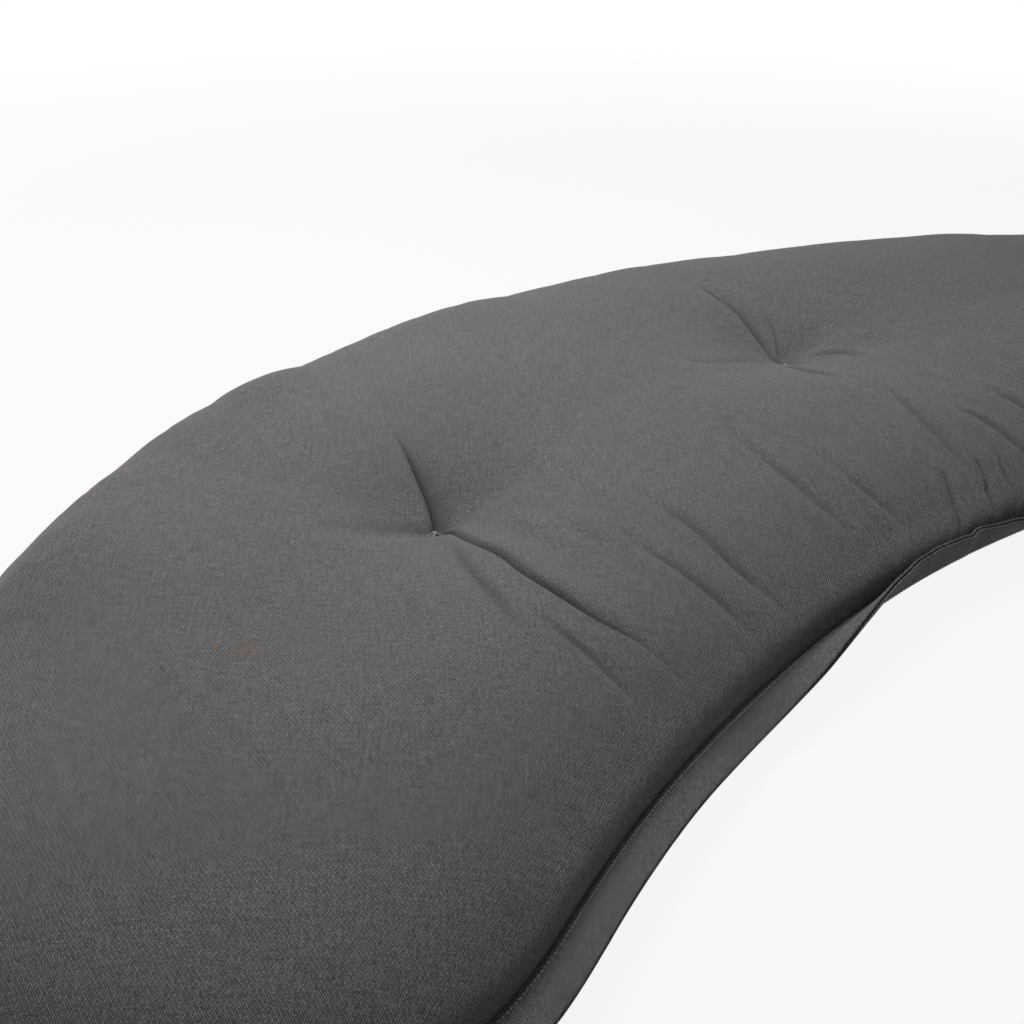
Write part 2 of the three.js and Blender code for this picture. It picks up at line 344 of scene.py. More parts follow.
# Shallow puckers that run down the front of the crown to the concave seam.
FRONT_FOLDS = (
    Fold(((7.6, -0.26), (8.7, -0.4), (9.5, -0.5), (10.1, -0.62), (10.5, -0.74), (10.8, -0.86), (10.9, -0.97)),
         depth=3.1, left=2.6, right=3.4, lift=0.7, roll=8, hold=0.75, start=0.7),
    Fold(((13.5, -0.33), (14.7, -0.55), (15.1, -0.66), (15.6, -0.77), (15.9, -0.85), (16.0, -0.92),
          (15.95, -0.98)),
         depth=3.3, left=2.4, right=3.4, lift=0.8, roll=8, hold=0.8, start=0.75),
    Fold(((16.1, -0.42), (17.1, -0.62), (17.3, -0.69), (17.5, -0.78), (17.7, -0.87), (17.9, -0.94),
          (17.9, -0.99)),
         depth=2.9, left=2.4, right=3.4, lift=0.8, roll=8, hold=0.8, start=0.75),
    Fold(((16.6, -0.33), (17.6, -0.52), (18.3, -0.64), (19.0, -0.78)),
         depth=1.8, left=6, right=3.5, lift=0.7, roll=7, hold=0.6, start=0.4, roundness=1.8),
    Fold(((1.6, -0.42), (2.4, -0.54), (3.1, -0.66), (3.6, -0.78), (3.9, -0.87), (4.1, -0.95)),
         depth=3.4, left=1.9, right=1.6, lift=1.2, hold=0.75, start=0.5, flare=0.7, roundness=1.5),
    Fold(((3.1, -0.84), (3.5, -0.92), (4.0, -0.96), (4.5, -1.0)),
         depth=4.6, left=2.2, right=1.4, lift=1.6, roll=4.5, hold=0.85, start=0.35, roundness=1.5),
    Fold(((4.8, -0.85), (5.4, -0.92), (5.9, -0.96), (6.6, -1.0)),
         depth=4.6, left=2.4, right=1.4, lift=1.4, roll=4.5, hold=0.85, start=0.4, roundness=1.5),
    Fold(((2.2, -0.88), (2.7, -0.95), (3.2, -1.0)),
         depth=4.0, left=2.4, right=1.4, lift=1.2, roll=4.5, hold=0.85, start=0.4, roundness=1.5),
    Fold(((5.9, -0.86), (6.6, -0.94), (7.2, -1.0)),
         depth=2.6, left=2.6, right=1.8, lift=1.0, roll=5, hold=0.85, start=0.4, roundness=1.5),
    Fold(((8.1, -0.62), (8.4, -0.71), (8.6, -0.8), (8.6, -0.88), (8.5, -0.97)),
         depth=2.6, left=2.4, right=3.0, lift=0.7, roll=8, hold=0.8, start=0.6),
    Fold(((11.4, -0.9), (12.1, -0.97), (12.6, -1.0)),
         depth=2.4, left=2.0, right=1.7, lift=0.8, roll=5, hold=0.85, start=0.4, roundness=1.5),
    Fold(((9.2, -0.84), (9.6, -0.93), (10.0, -1.0)),
         depth=2.6, left=3, right=1.8, lift=1.0, roll=5, hold=0.85, start=0.4, roundness=1.5),
    Fold(((1.5, -0.66), (1.1, -0.77), (1.0, -0.86), (0.9, -0.97)),
         depth=3.0, left=2.4, right=1.7, lift=1.0, roll=5, hold=0.8, start=0.4, roundness=1.5),
    Fold(((-0.8, -0.36), (0.1, -0.5), (0.8, -0.62), (1.4, -0.74)),
         depth=1.8, left=6, right=4, lift=0.6, roll=7, hold=0.5, start=0.4, roundness=1.8),
    Fold(((3.4, -0.42), (4.2, -0.56), (4.5, -0.68)),
         depth=1.8, left=3.6, right=2.4, lift=0.5, hold=0.5, start=0.4, roundness=1.6),
    Fold(((-1.0, -0.6), (-1.2, -0.82), (-1.4, -0.97)),
         depth=3.6, left=3.6, right=1.8, lift=1.0, hold=0.8, start=0.4),
    Fold(((-3.6, -0.8), (-3.4, -0.9), (-3.2, -1.0)),
         depth=3.2, left=3, right=1.8, lift=1.0, roll=5, hold=0.85, start=0.4),
    Fold(((-5.2, -0.6), (-5.9, -0.8), (-6.2, -0.97)),
         depth=3.4, left=3.6, right=2.2, lift=0.8, hold=0.7, start=0.4),
    Fold(((-9.6, -0.5), (-10.3, -0.76), (-11.4, -0.97)),
         depth=3.4, left=2.2, right=3.6, lift=-0.8, hold=0.7, start=0.4),
)


# Fuller and slacker places of the filling behind the tufts: place, rise and reach in millimetres.
CROWN_SWELLS = (
    Swell(9.0, 0.85, 7.0, 60), Swell(15.0, 0.9, 14.0, 45), Swell(18.2, 0.93, 10.5, 40),
    Swell(22.6, 0.95, 5.0, 35), Swell(16.3, 0.9, 5.0, 35), Swell(12.2, 0.93, 5.0, 45),
    Swell(6.3, 0.85, 4.0, 40), Swell(20.5, 0.95, 13.0, 60), Swell(25.5, 0.97, 21.0, 75),
    Swell(2.0, 0.8, -2.0, 60), Swell(-5.0, 0.72, -3.0, 70), Swell(-12.5, 0.7, 2.0, 50),
)


@dataclass
class Relief:
    """The height of the cover over the ground, from the crown down to small puckers."""

    plan: SeamPlan
    crown_height: float = 69.5
    front_fullness: float = 4.9
    back_fullness: float = 2.6
    narrow_loss: float = 0.4
    half_seam: float = 1.5
    bowl_depth: float = 13.0
    bowl_reach: float = 85.0
    funnel_depth: float = 22.0
    funnel_reach: float = 24.0
    narrow_bank: float = 4.0
    pucker_seed: int = 27
    pucker_foot: float = 0.985
    swells: tuple[Swell, ...] = CROWN_SWELLS
    placed_folds: tuple[Fold, ...] = TUFT_FOLDS + FRONT_FOLDS
    folds: tuple[Fold, ...] = field(init=False)

    def __post_init__(self) -> None:
        """Adds the gathers along the seam to the folds that have their own places."""
        self.folds = self.placed_folds + self.seam_puckers()

    def seam_puckers(self) -> tuple[Fold, ...]:
        """Small gathers that run in from the seam all round the cushion.

        Returns:
            Folds with seeded places and sizes.
        """
        rng = np.random.default_rng(self.pucker_seed)
        puckers = []
        for edge in (-1.0, 1.0):
            for deg in np.arange(-30.0, 31.0, 2.3):
                shift = rng.uniform(-0.8, 0.8)
                lean = rng.uniform(-0.7, 0.7)
                length = rng.uniform(0.12, 0.34)
                foot = (deg + shift, edge * self.pucker_foot)
                head = (deg + shift + lean, edge * (self.pucker_foot - length))
                puckers.append(Fold(
                    (foot, head), depth=rng.uniform(0.5, 1.5), left=rng.uniform(4, 8),
                    right=rng.uniform(4, 8), hold=0.3, start=0.1,
                ))
        return tuple(puckers)

    def crown(self, spine_deg: np.ndarray, share: np.ndarray, side: np.ndarray) -> np.ndarray:
        """Height of the plain crown.

        Args:
            spine_deg: The angle of the nearest place on the middle line.
            share: How far out from the middle line (0) to the seam (1).
            side: 0 towards the concave edge and 1 towards the convex one.

        Returns:
            Heights in metres.
        """
        plan = self.plan
        width = (plan.reach(spine_deg) - plan.concave_radius) / plan.pad_depth
        rise = (self.crown_height - SEAM_HEIGHT) * width**self.narrow_loss - self.half_seam
        fullness = self.front_fullness + (self.back_fullness - self.front_fullness) * side
        arch = np.sqrt(np.clip(1 - share**fullness, 0.0, 1.0))
        return (SEAM_HEIGHT + self.half_seam + rise * arch) * MM

    def tufts(self, points: np.ndarray) -> np.ndarray:
        """How far the tufts draw the cover down.

        Args:
            points: Plan points in metres.

        Returns:
            Depths in metres.
        """
        depth = np.zeros(points.shape[:-1])
        for deg in TUFTS:
            away = self.plan.distance(points, deg) / MM
            depth += self.bowl_depth * np.exp(-((away / self.bowl_reach) ** 2))
            depth += self.funnel_depth * np.exp(-((away / self.funnel_reach) ** 1.2))
        return depth * MM

    def heights(self, items: tuple[Fold | Swell, ...], points: np.ndarray) -> np.ndarray:
        """Heights in metres that some folds or swells add at plan points."""
        rows = points.reshape(-1, 2)
        return sum(item.height(self.plan, rows) for item in items).reshape(points.shape[:-1])

    def painted_shade_depths(self, points: np.ndarray) -> np.ndarray:
        """How deep the narrow creases lie at plan points, in millimetres, for the painted shade that darkens
        the cover's colour in them.
        """
        narrow = tuple(fold for fold in self.placed_folds if fold.slim() < self.narrow_bank)
        return np.clip(-self.heights(narrow, points) / MM, 0.0, None)

    def busy(self, points: np.ndarray, tuft_reach: float, fold_reach: float, slimmest: float) -> np.ndarray:
        """Tells where the cover is too finely creased for a coarse mesh.

        Args:
            points: Plan points in metres.
            tuft_reach: The distance from a tuft within which all is fine, in millimetres.
            fold_reach: How many widths of a fold are fine.
            slimmest: The bank width below which a fold counts, in millimetres.

        Returns:
            True where a finer mesh is needed.
        """
        found = np.zeros(points.shape[:-1], dtype=bool)
        for deg in TUFTS:
            found |= self.plan.distance(points, deg) < tuft_reach * MM
        for fold in self.placed_folds:
            if fold.slim() < slimmest:
                found |= fold.near(self.plan, points, fold_reach)
        return found


# ---------------------------------------------------------------- meshes


@dataclass
class Stations:
    """Places along the whole seam, in order and closed on themselves."""

    plan: SeamPlan
    per_side: int
    per_cap: int
    gather: float = 0.3
    deg: np.ndarray = field(init=False)
    across: np.ndarray = field(init=False)
    turn: np.ndarray = field(init=False)

    def __post_init__(self) -> None:
        """Works out the places: concave edge, right end, convex edge, left end."""
        plan = self.plan
        even = np.linspace(-plan.cap_deg, plan.cap_deg, self.per_side + 1)
        side = even - self.gather * LEFT_TUFT / math.tau * np.sin(math.tau * even / LEFT_TUFT)
        side *= plan.cap_deg / side[-1]
        half = math.pi * np.arange(1, self.per_cap) / self.per_cap
        out = np.sin(half) ** (2 / plan.end_squareness)
        over = -np.sign(np.cos(half)) * np.abs(np.cos(half)) ** (2 / plan.end_squareness)
        cap = plan.cap_deg + (plan.end_deg - plan.cap_deg) * out
        ones = np.ones_like(side)
        self.deg = np.concatenate([-side, -cap, side, cap[::-1]])
        self.across = np.concatenate([-ones, over, ones, over[::-1]])
        self.turn = np.concatenate([0 * ones, half, math.pi * ones, half[::-1]])

    def __len__(self) -> int:
        """Number of places."""
        return len(self.deg)

    def points(self) -> np.ndarray:
        """Plan points of the seam."""
        return self.plan.point(self.deg, self.across)

    def outwards(self) -> np.ndarray:
        """Unit directions that point out of the cushion in plan."""
        points = self.points()
        run = np.roll(points, -1, axis=0) - np.roll(points, 1, axis=0)
        run /= np.linalg.norm(run, axis=1, keepdims=True)
        return np.stack([run[:, 1], -run[:, 0]], axis=1)

    def distances(self) -> np.ndarray:
        """Distance along the seam of each place, from the first."""
        steps = np.linalg.norm(np.roll(self.points(), -1, axis=0) - self.points(), axis=1)
        return np.concatenate([[0.0], np.cumsum(steps)[:-1]])

    def walks(self) -> np.ndarray:
        """Share of the way round at each place, alike on both ends of each column of points."""
        side, cap = 0.44, 0.06
        along = (self.plan.cap_deg - self.deg) / (2 * self.plan.cap_deg)
        turned = self.turn / math.pi
        return np.select(
            [self.turn == 0, self.turn == math.pi, self.deg < 0],
            [side * along, side + cap + side * (1 - along), side + cap * turned],
            2 * side + cap * (2 - turned),
        )

    def partners(self) -> np.ndarray:
        """The place across the cushion's middle line from each one."""
        count = len(self)
        return (2 * self.per_side + self.per_cap - np.arange(count)) % count

    def sides(self) -> np.ndarray:
        """0 on the concave edge, 1 on the convex one, and eased between them on the ends."""
        return smooth(self.turn, 0, math.pi)


def ring_faces(rings: int, count: int) -> list[tuple[int, int, int, int]]:
    """Quads between closed rings of equal length, facing away when rings run downwards.

    Args:
        rings: Number of rings.
        count: Points in each ring.

    Returns:
        Index tuples.
    """
    index = np.arange(rings * count).reshape(rings, count)
    here, below = index[:-1], index[1:]
    quads = np.stack([here, below, np.roll(below, -1, 1), np.roll(here, -1, 1)], axis=-1)
    return [tuple(int(i) for i in quad) for quad in quads.reshape(-1, 4)]


def link_object(name: str, data: bpy.types.ID) -> bpy.types.Object:
    """Makes an object of some data at the scene's origin.

    Args:
        name: The object's name.
        data: The mesh, curve, camera or light that it shows.

    Returns:
        The new object.
    """
    thing = bpy.data.objects.new(name, data)
    bpy.context.scene.collection.objects.link(thing)
    return thing


def make_mesh(
    name: str,
    points: np.ndarray,
    faces: list,
    cloth: np.ndarray,
    under_cloth: np.ndarray | None = None,
    split: int = 0,
) -> bpy.types.Object:
    """Makes a smooth mesh object at the origin.

    Args:
        name: The object's name.
        points: Corner points in metres.
        faces: Index tuples.
        cloth: Each corner point's place on the flat cloth.
        under_cloth: The same for the faces from split on, which are cut from another panel.
        split: The first face of the other panel.

    Returns:
        The new object.
    """
    mesh = bpy.data.meshes.new(name)
    mesh.from_pydata(points.tolist(), [], faces)
    layer = mesh.uv_layers.new(name="cloth")
    corners = np.empty(len(mesh.loops), dtype=np.int32)
    mesh.loops.foreach_get("vertex_index", corners)
    places = cloth[corners]
    if under_cloth is not None:
        first = 4 * split
        places[first:] = under_cloth[corners[first:]]
    layer.data.foreach_set("uv", places.astype(np.float32).ravel())
    smooth_faces(mesh)
    return link_object(name, mesh)


def smooth_faces(mesh: bpy.types.Mesh) -> None:
    """Shades a mesh smoothly."""
    mesh.polygons.foreach_set("use_smooth", np.ones(len(mesh.polygons), dtype=bool))
    mesh.update()


@dataclass
class PadSource:
    """What each point of the crown is worked out from."""

    flat: np.ndarray
    outward: np.ndarray
    spine_deg: np.ndarray
    share: np.ndarray
    side: np.ndarray
    walk: np.ndarray

    def numbers(self) -> np.ndarray:
        """All of it in one row for each point, in a form that can be averaged."""
        parts = (self.flat, self.outward, self.spine_deg[..., None], self.share[..., None],
                 self.side[..., None], np.cos(math.tau * self.walk)[..., None],
                 np.sin(math.tau * self.walk)[..., None])
        return np.concatenate(parts, axis=-1)

    @classmethod
    def from_numbers(cls, rows: np.ndarray) -> "PadSource":
        """Reads what numbers() gave."""
        walk = np.arctan2(rows[..., 8], rows[..., 7]) / math.tau % 1.0
        return cls(rows[..., 0:2], rows[..., 2:4], rows[..., 4], rows[..., 5], rows[..., 6], walk)


# Names of the pad's attributes: how far creases turn it from its plain level, their depth in
# millimetres, which darkens the cloth's colour as painted shade in the creases, and the numbers of
# PadSource, which are removed again.
TURNED_AWAY = "turned_away"
PAINTED_SHADE_DEPTH = "painted_shade_depth"
NUMBER_NAMES = ("flat_x", "flat_y", "out_x", "out_y", "spine_deg", "share", "side", "walk_x", "walk_y")


@dataclass
class Swelling:
    """How far the filling pushes the cover out, by share and by the way round the seam."""

    shares: np.ndarray
    walks: np.ndarray
    crown: np.ndarray
    foot: np.ndarray

    def on_crown(self, share: np.ndarray, walk: np.ndarray) -> np.ndarray:
        """Reads the crown's movement.

        Args:
            share: Shares from the middle line (0) to the seam (1).
            walk: Shares of the way round the seam.

        Returns:
            Movements in metres, with x, y and z last.
        """
        high = np.clip(np.searchsorted(self.shares, share), 1, len(self.shares) - 1)
        part = (share - self.shares[high - 1]) / (self.shares[high] - self.shares[high - 1])
        near, far, blend = self.between(walk)
        lower = self.mixed(self.crown[high - 1, near], self.crown[high - 1, far], blend)
        upper = self.mixed(self.crown[high, near], self.crown[high, far], blend)
        return self.mixed(lower, upper, np.clip(part, 0, 1))

    def on_foot(self, walk: np.ndarray) -> np.ndarray:
        """Reads the movement of all rings below the seam at shares of the way round it."""
        near, far, blend = self.between(walk)
        return self.mixed(self.foot[:, near], self.foot[:, far], blend[None])

    def between(self, walk: np.ndarray) -> tuple[np.ndarray, np.ndarray, np.ndarray]:
        """The two stations beside each share of the way round the seam, and the place between them."""
        count = len(self.walks)
        far = np.searchsorted(self.walks, walk, side="right")
        near = far - 1
        ends = np.append(self.walks, 1.0)
        blend = (walk - ends[near]) / (ends[far] - ends[near])
        return near, far % count, np.clip(blend, 0, 1)

    @staticmethod
    def mixed(low: np.ndarray, high: np.ndarray, part: np.ndarray) -> np.ndarray:
        """A share of the way from one set of movements to another."""
        return low + (high - low) * part[..., None]


@dataclass
class CushionPad:
    """The filled pad: tufted crown, drawn-in sides and flat base, as one closed skin."""

    plan: SeamPlan
    relief: Relief
    stations: Stations
    swelling: Swelling | None = None
    spine_over_deg: float = 1.86
    flat_share: float = 0.82
    foot_fullness: float = 1.5
    side_rings: int = 8
    base_rings: int = 4
    ring_spacing: tuple[float, float, float] = (3.0, 5.0, 1.8)
    inner_shares: tuple[float, float] = (0.15, 0.5)
    outer_shares: tuple[float, float] = (0.8, 0.99)
    front_bulge: float = 3.5
    back_bulge: float = 5.0
    front_bulge_reach: float = 0.03
    back_bulge_reach: float = 0.016
    fold_lean: float = 0.85
    lean_from: float = 0.86
    lean_to: float = 0.97
    fold_power: int = 40
    tuft_power: int = 14
    finer: tuple[tuple[float, float, float], ...] = ((34.0, 2.2, 5.0), (13.0, 1.4, 2.7), (6.0, 1.3, 1.35))
    creased: bool = True

    def top_shares(self) -> np.ndarray:
        """Shares of the crown's rings, close together near the tufts and near the seam."""
        fine = np.linspace(0, 1, 2001)
        inner, middle, outer = self.ring_spacing
        spacing = inner + (middle - inner) * smooth(fine, *self.inner_shares)
        spacing = spacing + (outer - middle) * smooth(fine, *self.outer_shares)
        half = self.plan.pad_depth / 2 / MM
        rank = np.concatenate([[0.0], np.cumsum(np.diff(fine) * half / spacing[1:])])
        return np.interp(np.linspace(0, rank[-1], int(round(rank[-1])) + 1), rank, fine)

    def columns(self) -> tuple[np.ndarray, np.ndarray, np.ndarray]:
        """The two ends of each column of points in plan.

        Returns:
            Spine angles, spine points and seam points, one for each station.
        """
        limit = self.plan.cap_deg + self.spine_over_deg
        spine_deg = np.clip(self.stations.deg, -limit, limit)
        return spine_deg, self.plan.point(spine_deg, 0.0), self.stations.points()

    def plain_crown(self, source: PadSource) -> np.ndarray:
        """Lifts plan points onto the crown as it would be without tufts, creases and bulges."""
        height = self.relief.crown(source.spine_deg, source.share, source.side)
        return np.concatenate([source.flat, height[..., None]], axis=-1)

    def crown_points(self, source: PadSource) -> np.ndarray:
        """Lifts plan points onto the crown.

        Args:
            source: What the points are worked out from.

        Returns:
            Points in metres.
        """
        relief, share = self.relief, source.share
        height = self.plain_crown(source)[..., 2]
        bulge = self.front_bulge + (self.back_bulge - self.front_bulge) * source.side
        reach = self.front_bulge_reach + (self.back_bulge_reach - self.front_bulge_reach) * source.side
        near = (1 - share) / reach
        swell = bulge * MM * near * np.exp(1 - near)
        lower = relief.tufts(source.flat)
        if self.creased:
            lower = lower - relief.heights(relief.swells, source.flat)
            fold = (1 - share**self.fold_power) * relief.heights(relief.folds, source.flat)
            lean = self.fold_lean * smooth(share, self.lean_from, self.lean_to)
            height = height + fold * (1 - lean)
            swell = swell + fold * lean
        height = height - (1 - share**self.tuft_power) * lower
        flat = source.flat + source.outward * swell[..., None]
        points = np.concatenate([flat, height[..., None]], axis=-1)
        if self.swelling:
            points = points + self.swelling.on_crown(share, source.walk)
        return points

    def crown_grid(self) -> tuple[np.ndarray, PadSource]:
        """Points of the crown by ring and station, and what they are worked out from."""
        spine_deg, spine, seam = self.columns()
        share = self.top_shares()[:, None]
        flat = spine + (seam - spine) * share[..., None]
        shape = flat.shape[:2]
        source = PadSource(
            flat,
            np.broadcast_to(self.stations.outwards(), flat.shape),
            np.broadcast_to(spine_deg, shape),
            np.broadcast_to(share, shape),
            np.broadcast_to(self.stations.sides(), shape),
            np.broadcast_to(self.stations.walks(), shape),
        )
        return self.crown_points(source), source

    def foot_grid(self) -> np.ndarray:
        """Points of the side below the seam and of the base, from the seam inwards.

        Returns:
            An array of rings, stations and x, y, z.
        """
        _, spine, seam = self.columns()
        part = np.linspace(1, 0, self.side_rings + 1)[1:]
        side_share = self.flat_share + (1 - self.flat_share) * part
        foot = (SEAM_HEIGHT - self.relief.half_seam) * MM
        side_height = foot * part**self.foot_fullness
        base_share = np.linspace(self.flat_share, 0, self.base_rings + 1)[1:]
        share = np.concatenate([side_share, base_share])[:, None]
        height = np.concatenate([side_height, np.zeros(self.base_rings)])[:, None]
        flat = spine + (seam - spine) * share[..., None]
        height = np.broadcast_to(height, flat.shape[:-1])
        points = np.concatenate([flat, height[..., None]], axis=-1)
        if self.swelling:
            points = points + self.swelling.on_foot(self.stations.walks())
        return points

    def cloth_map(self, grid: np.ndarray, outwards: bool) -> np.ndarray:
        """Places on the flat cloth, by the length of cloth between the spine and each point.

        Args:
            grid: Points by ring and station.
            outwards: True if the first ring lies on the spine, False if the last one does.

        Returns:
            Places in metres, by ring and station.
        """
        _, spine, seam = self.columns()
        run = seam - spine
        run = run / np.linalg.norm(run, axis=-1, keepdims=True)
        steps = np.linalg.norm(np.diff(grid, axis=0), axis=-1)
        zero = np.zeros((1, grid.shape[1]))
        if outwards:
            length = np.concatenate([zero, np.cumsum(steps, axis=0)])
        else:
            length = np.concatenate([np.cumsum(steps[::-1], axis=0)[::-1], zero])
        return spine + run * length[..., None]

    def seam_places(self) -> np.ndarray:
        """Places on the flat cloth where the crown meets the seam, one for each station."""
        return self.cloth_map(self.plain_crown(self.crown_grid()[1]), outwards=True)[-1]

    def tuft_heights(self) -> list[float]:
        """Heights of the crown at the tufts.

        Returns:
            One height in metres for each tuft.
        """
        crown, source = self.crown_grid()
        nearest = [np.argmin(self.plan.distance(source.flat, deg)) for deg in TUFTS]
        return [float(crown.reshape(-1, 3)[place, 2]) for place in nearest]

    def build(self) -> bpy.types.Object:
        """Makes the pad's mesh.

        Returns:
            The pad.
        """
        crown, source = self.crown_grid()
        foot = self.foot_grid()
        under = np.concatenate([crown[-1:], foot])
        grid = np.concatenate([crown, foot])
        count = len(self.stations)
        plain = self.plain_crown(source)
        upper = np.concatenate([self.cloth_map(plain, True), np.zeros_like(foot[..., :2])])
        lower = np.concatenate([np.zeros_like(crown[:-1, :, :2]), self.cloth_map(under, False)])
        pad = make_mesh("cushion_pad_cover", grid.reshape(-1, 3), ring_faces(len(grid), count),
                        upper.reshape(-1, 2), lower.reshape(-1, 2), (len(crown) - 1) * count)
        numbers = source.numbers()
        spare = np.full((*foot.shape[:2], numbers.shape[-1]), -1.0)
        rows = np.concatenate([numbers, spare]).reshape(-1, numbers.shape[-1])
        for name, column in zip(NUMBER_NAMES, rows.T):
            keep_values(pad.data, name, column)
        self.refine(pad)
        merge_close(pad)
        return pad

    @staticmethod
    def edge_key(edge: bmesh.types.BMEdge) -> tuple[int, int]:
        """The plan place of an edge's middle, alike for edges that lie on each other."""
        middle = (edge.verts[0].co + edge.verts[1].co) / 2
        return round(middle.x / SAME_PLACE), round(middle.y / SAME_PLACE)

    def refine(self, pad: bpy.types.Object) -> None:
        """Divides the mesh where the creases are narrow, and lifts the new points in place.

        Args:
            pad: The pad.
        """
        shell = bmesh.new()
        shell.from_mesh(pad.data)
        for tuft_reach, fold_reach, slimmest in self.finer:
            shell.faces.ensure_lookup_table()
            shell.edges.index_update()
            middles = np.array([face.calc_center_median()[:] for face in shell.faces])
            busy = self.relief.busy(middles[:, :2], tuft_reach, fold_reach, slimmest)
            busy &= middles[:, 2] > SEAM_HEIGHT * MM
            edges = {edge for face, wanted in zip(shell.faces, busy) if wanted for edge in face.edges}
            slit = {self.edge_key(edge) for edge in edges if edge.is_boundary}
            edges |= {edge for edge in shell.edges if edge.is_boundary and self.edge_key(edge) in slit}
            bmesh.ops.subdivide_edges(shell, edges=sorted(edges, key=lambda edge: edge.index), cuts=1,
                                      use_grid_fill=True)
        shell.to_mesh(pad.data)
        shell.free()
        rows = take_numbers(pad.data)
        points = read_rows(pad.data.vertices, "co")
        crown = rows[:, 5] >= 0
        source = PadSource.from_numbers(rows[crown])
        plain = points.copy()
        plain[crown] = self.plain_crown(source)
        points[crown] = self.crown_points(source)
        level = moved_normals(pad.data, plain)
        turned = moved_normals(pad.data, points)
        away = np.where(crown, 1 - (level * turned).sum(axis=1), 0.0)
        # The narrow creases' depth, kept for the painted shade that darkens the cloth's colour in them.
        painted_shade_depth = np.zeros(len(points))
        painted_shade_depth[crown] = self.relief.painted_shade_depths(source.flat) * (1 - source.share**self.fold_power)
        keep_values(pad.data, TURNED_AWAY, away)
        keep_values(pad.data, PAINTED_SHADE_DEPTH, painted_shade_depth)


# The simulated cover: thin and fairly stiff, swollen without weight.
SHELL_CLOTH = {
    "quality": 6,
    "mass": 0.3,
    "tension_stiffness": 30,
    "compression_stiffness": 15,
    "shear_stiffness": 8,
    "bending_stiffness": 0.2,
    "use_pressure": True,
    "vertex_group_mass": "pins",
}


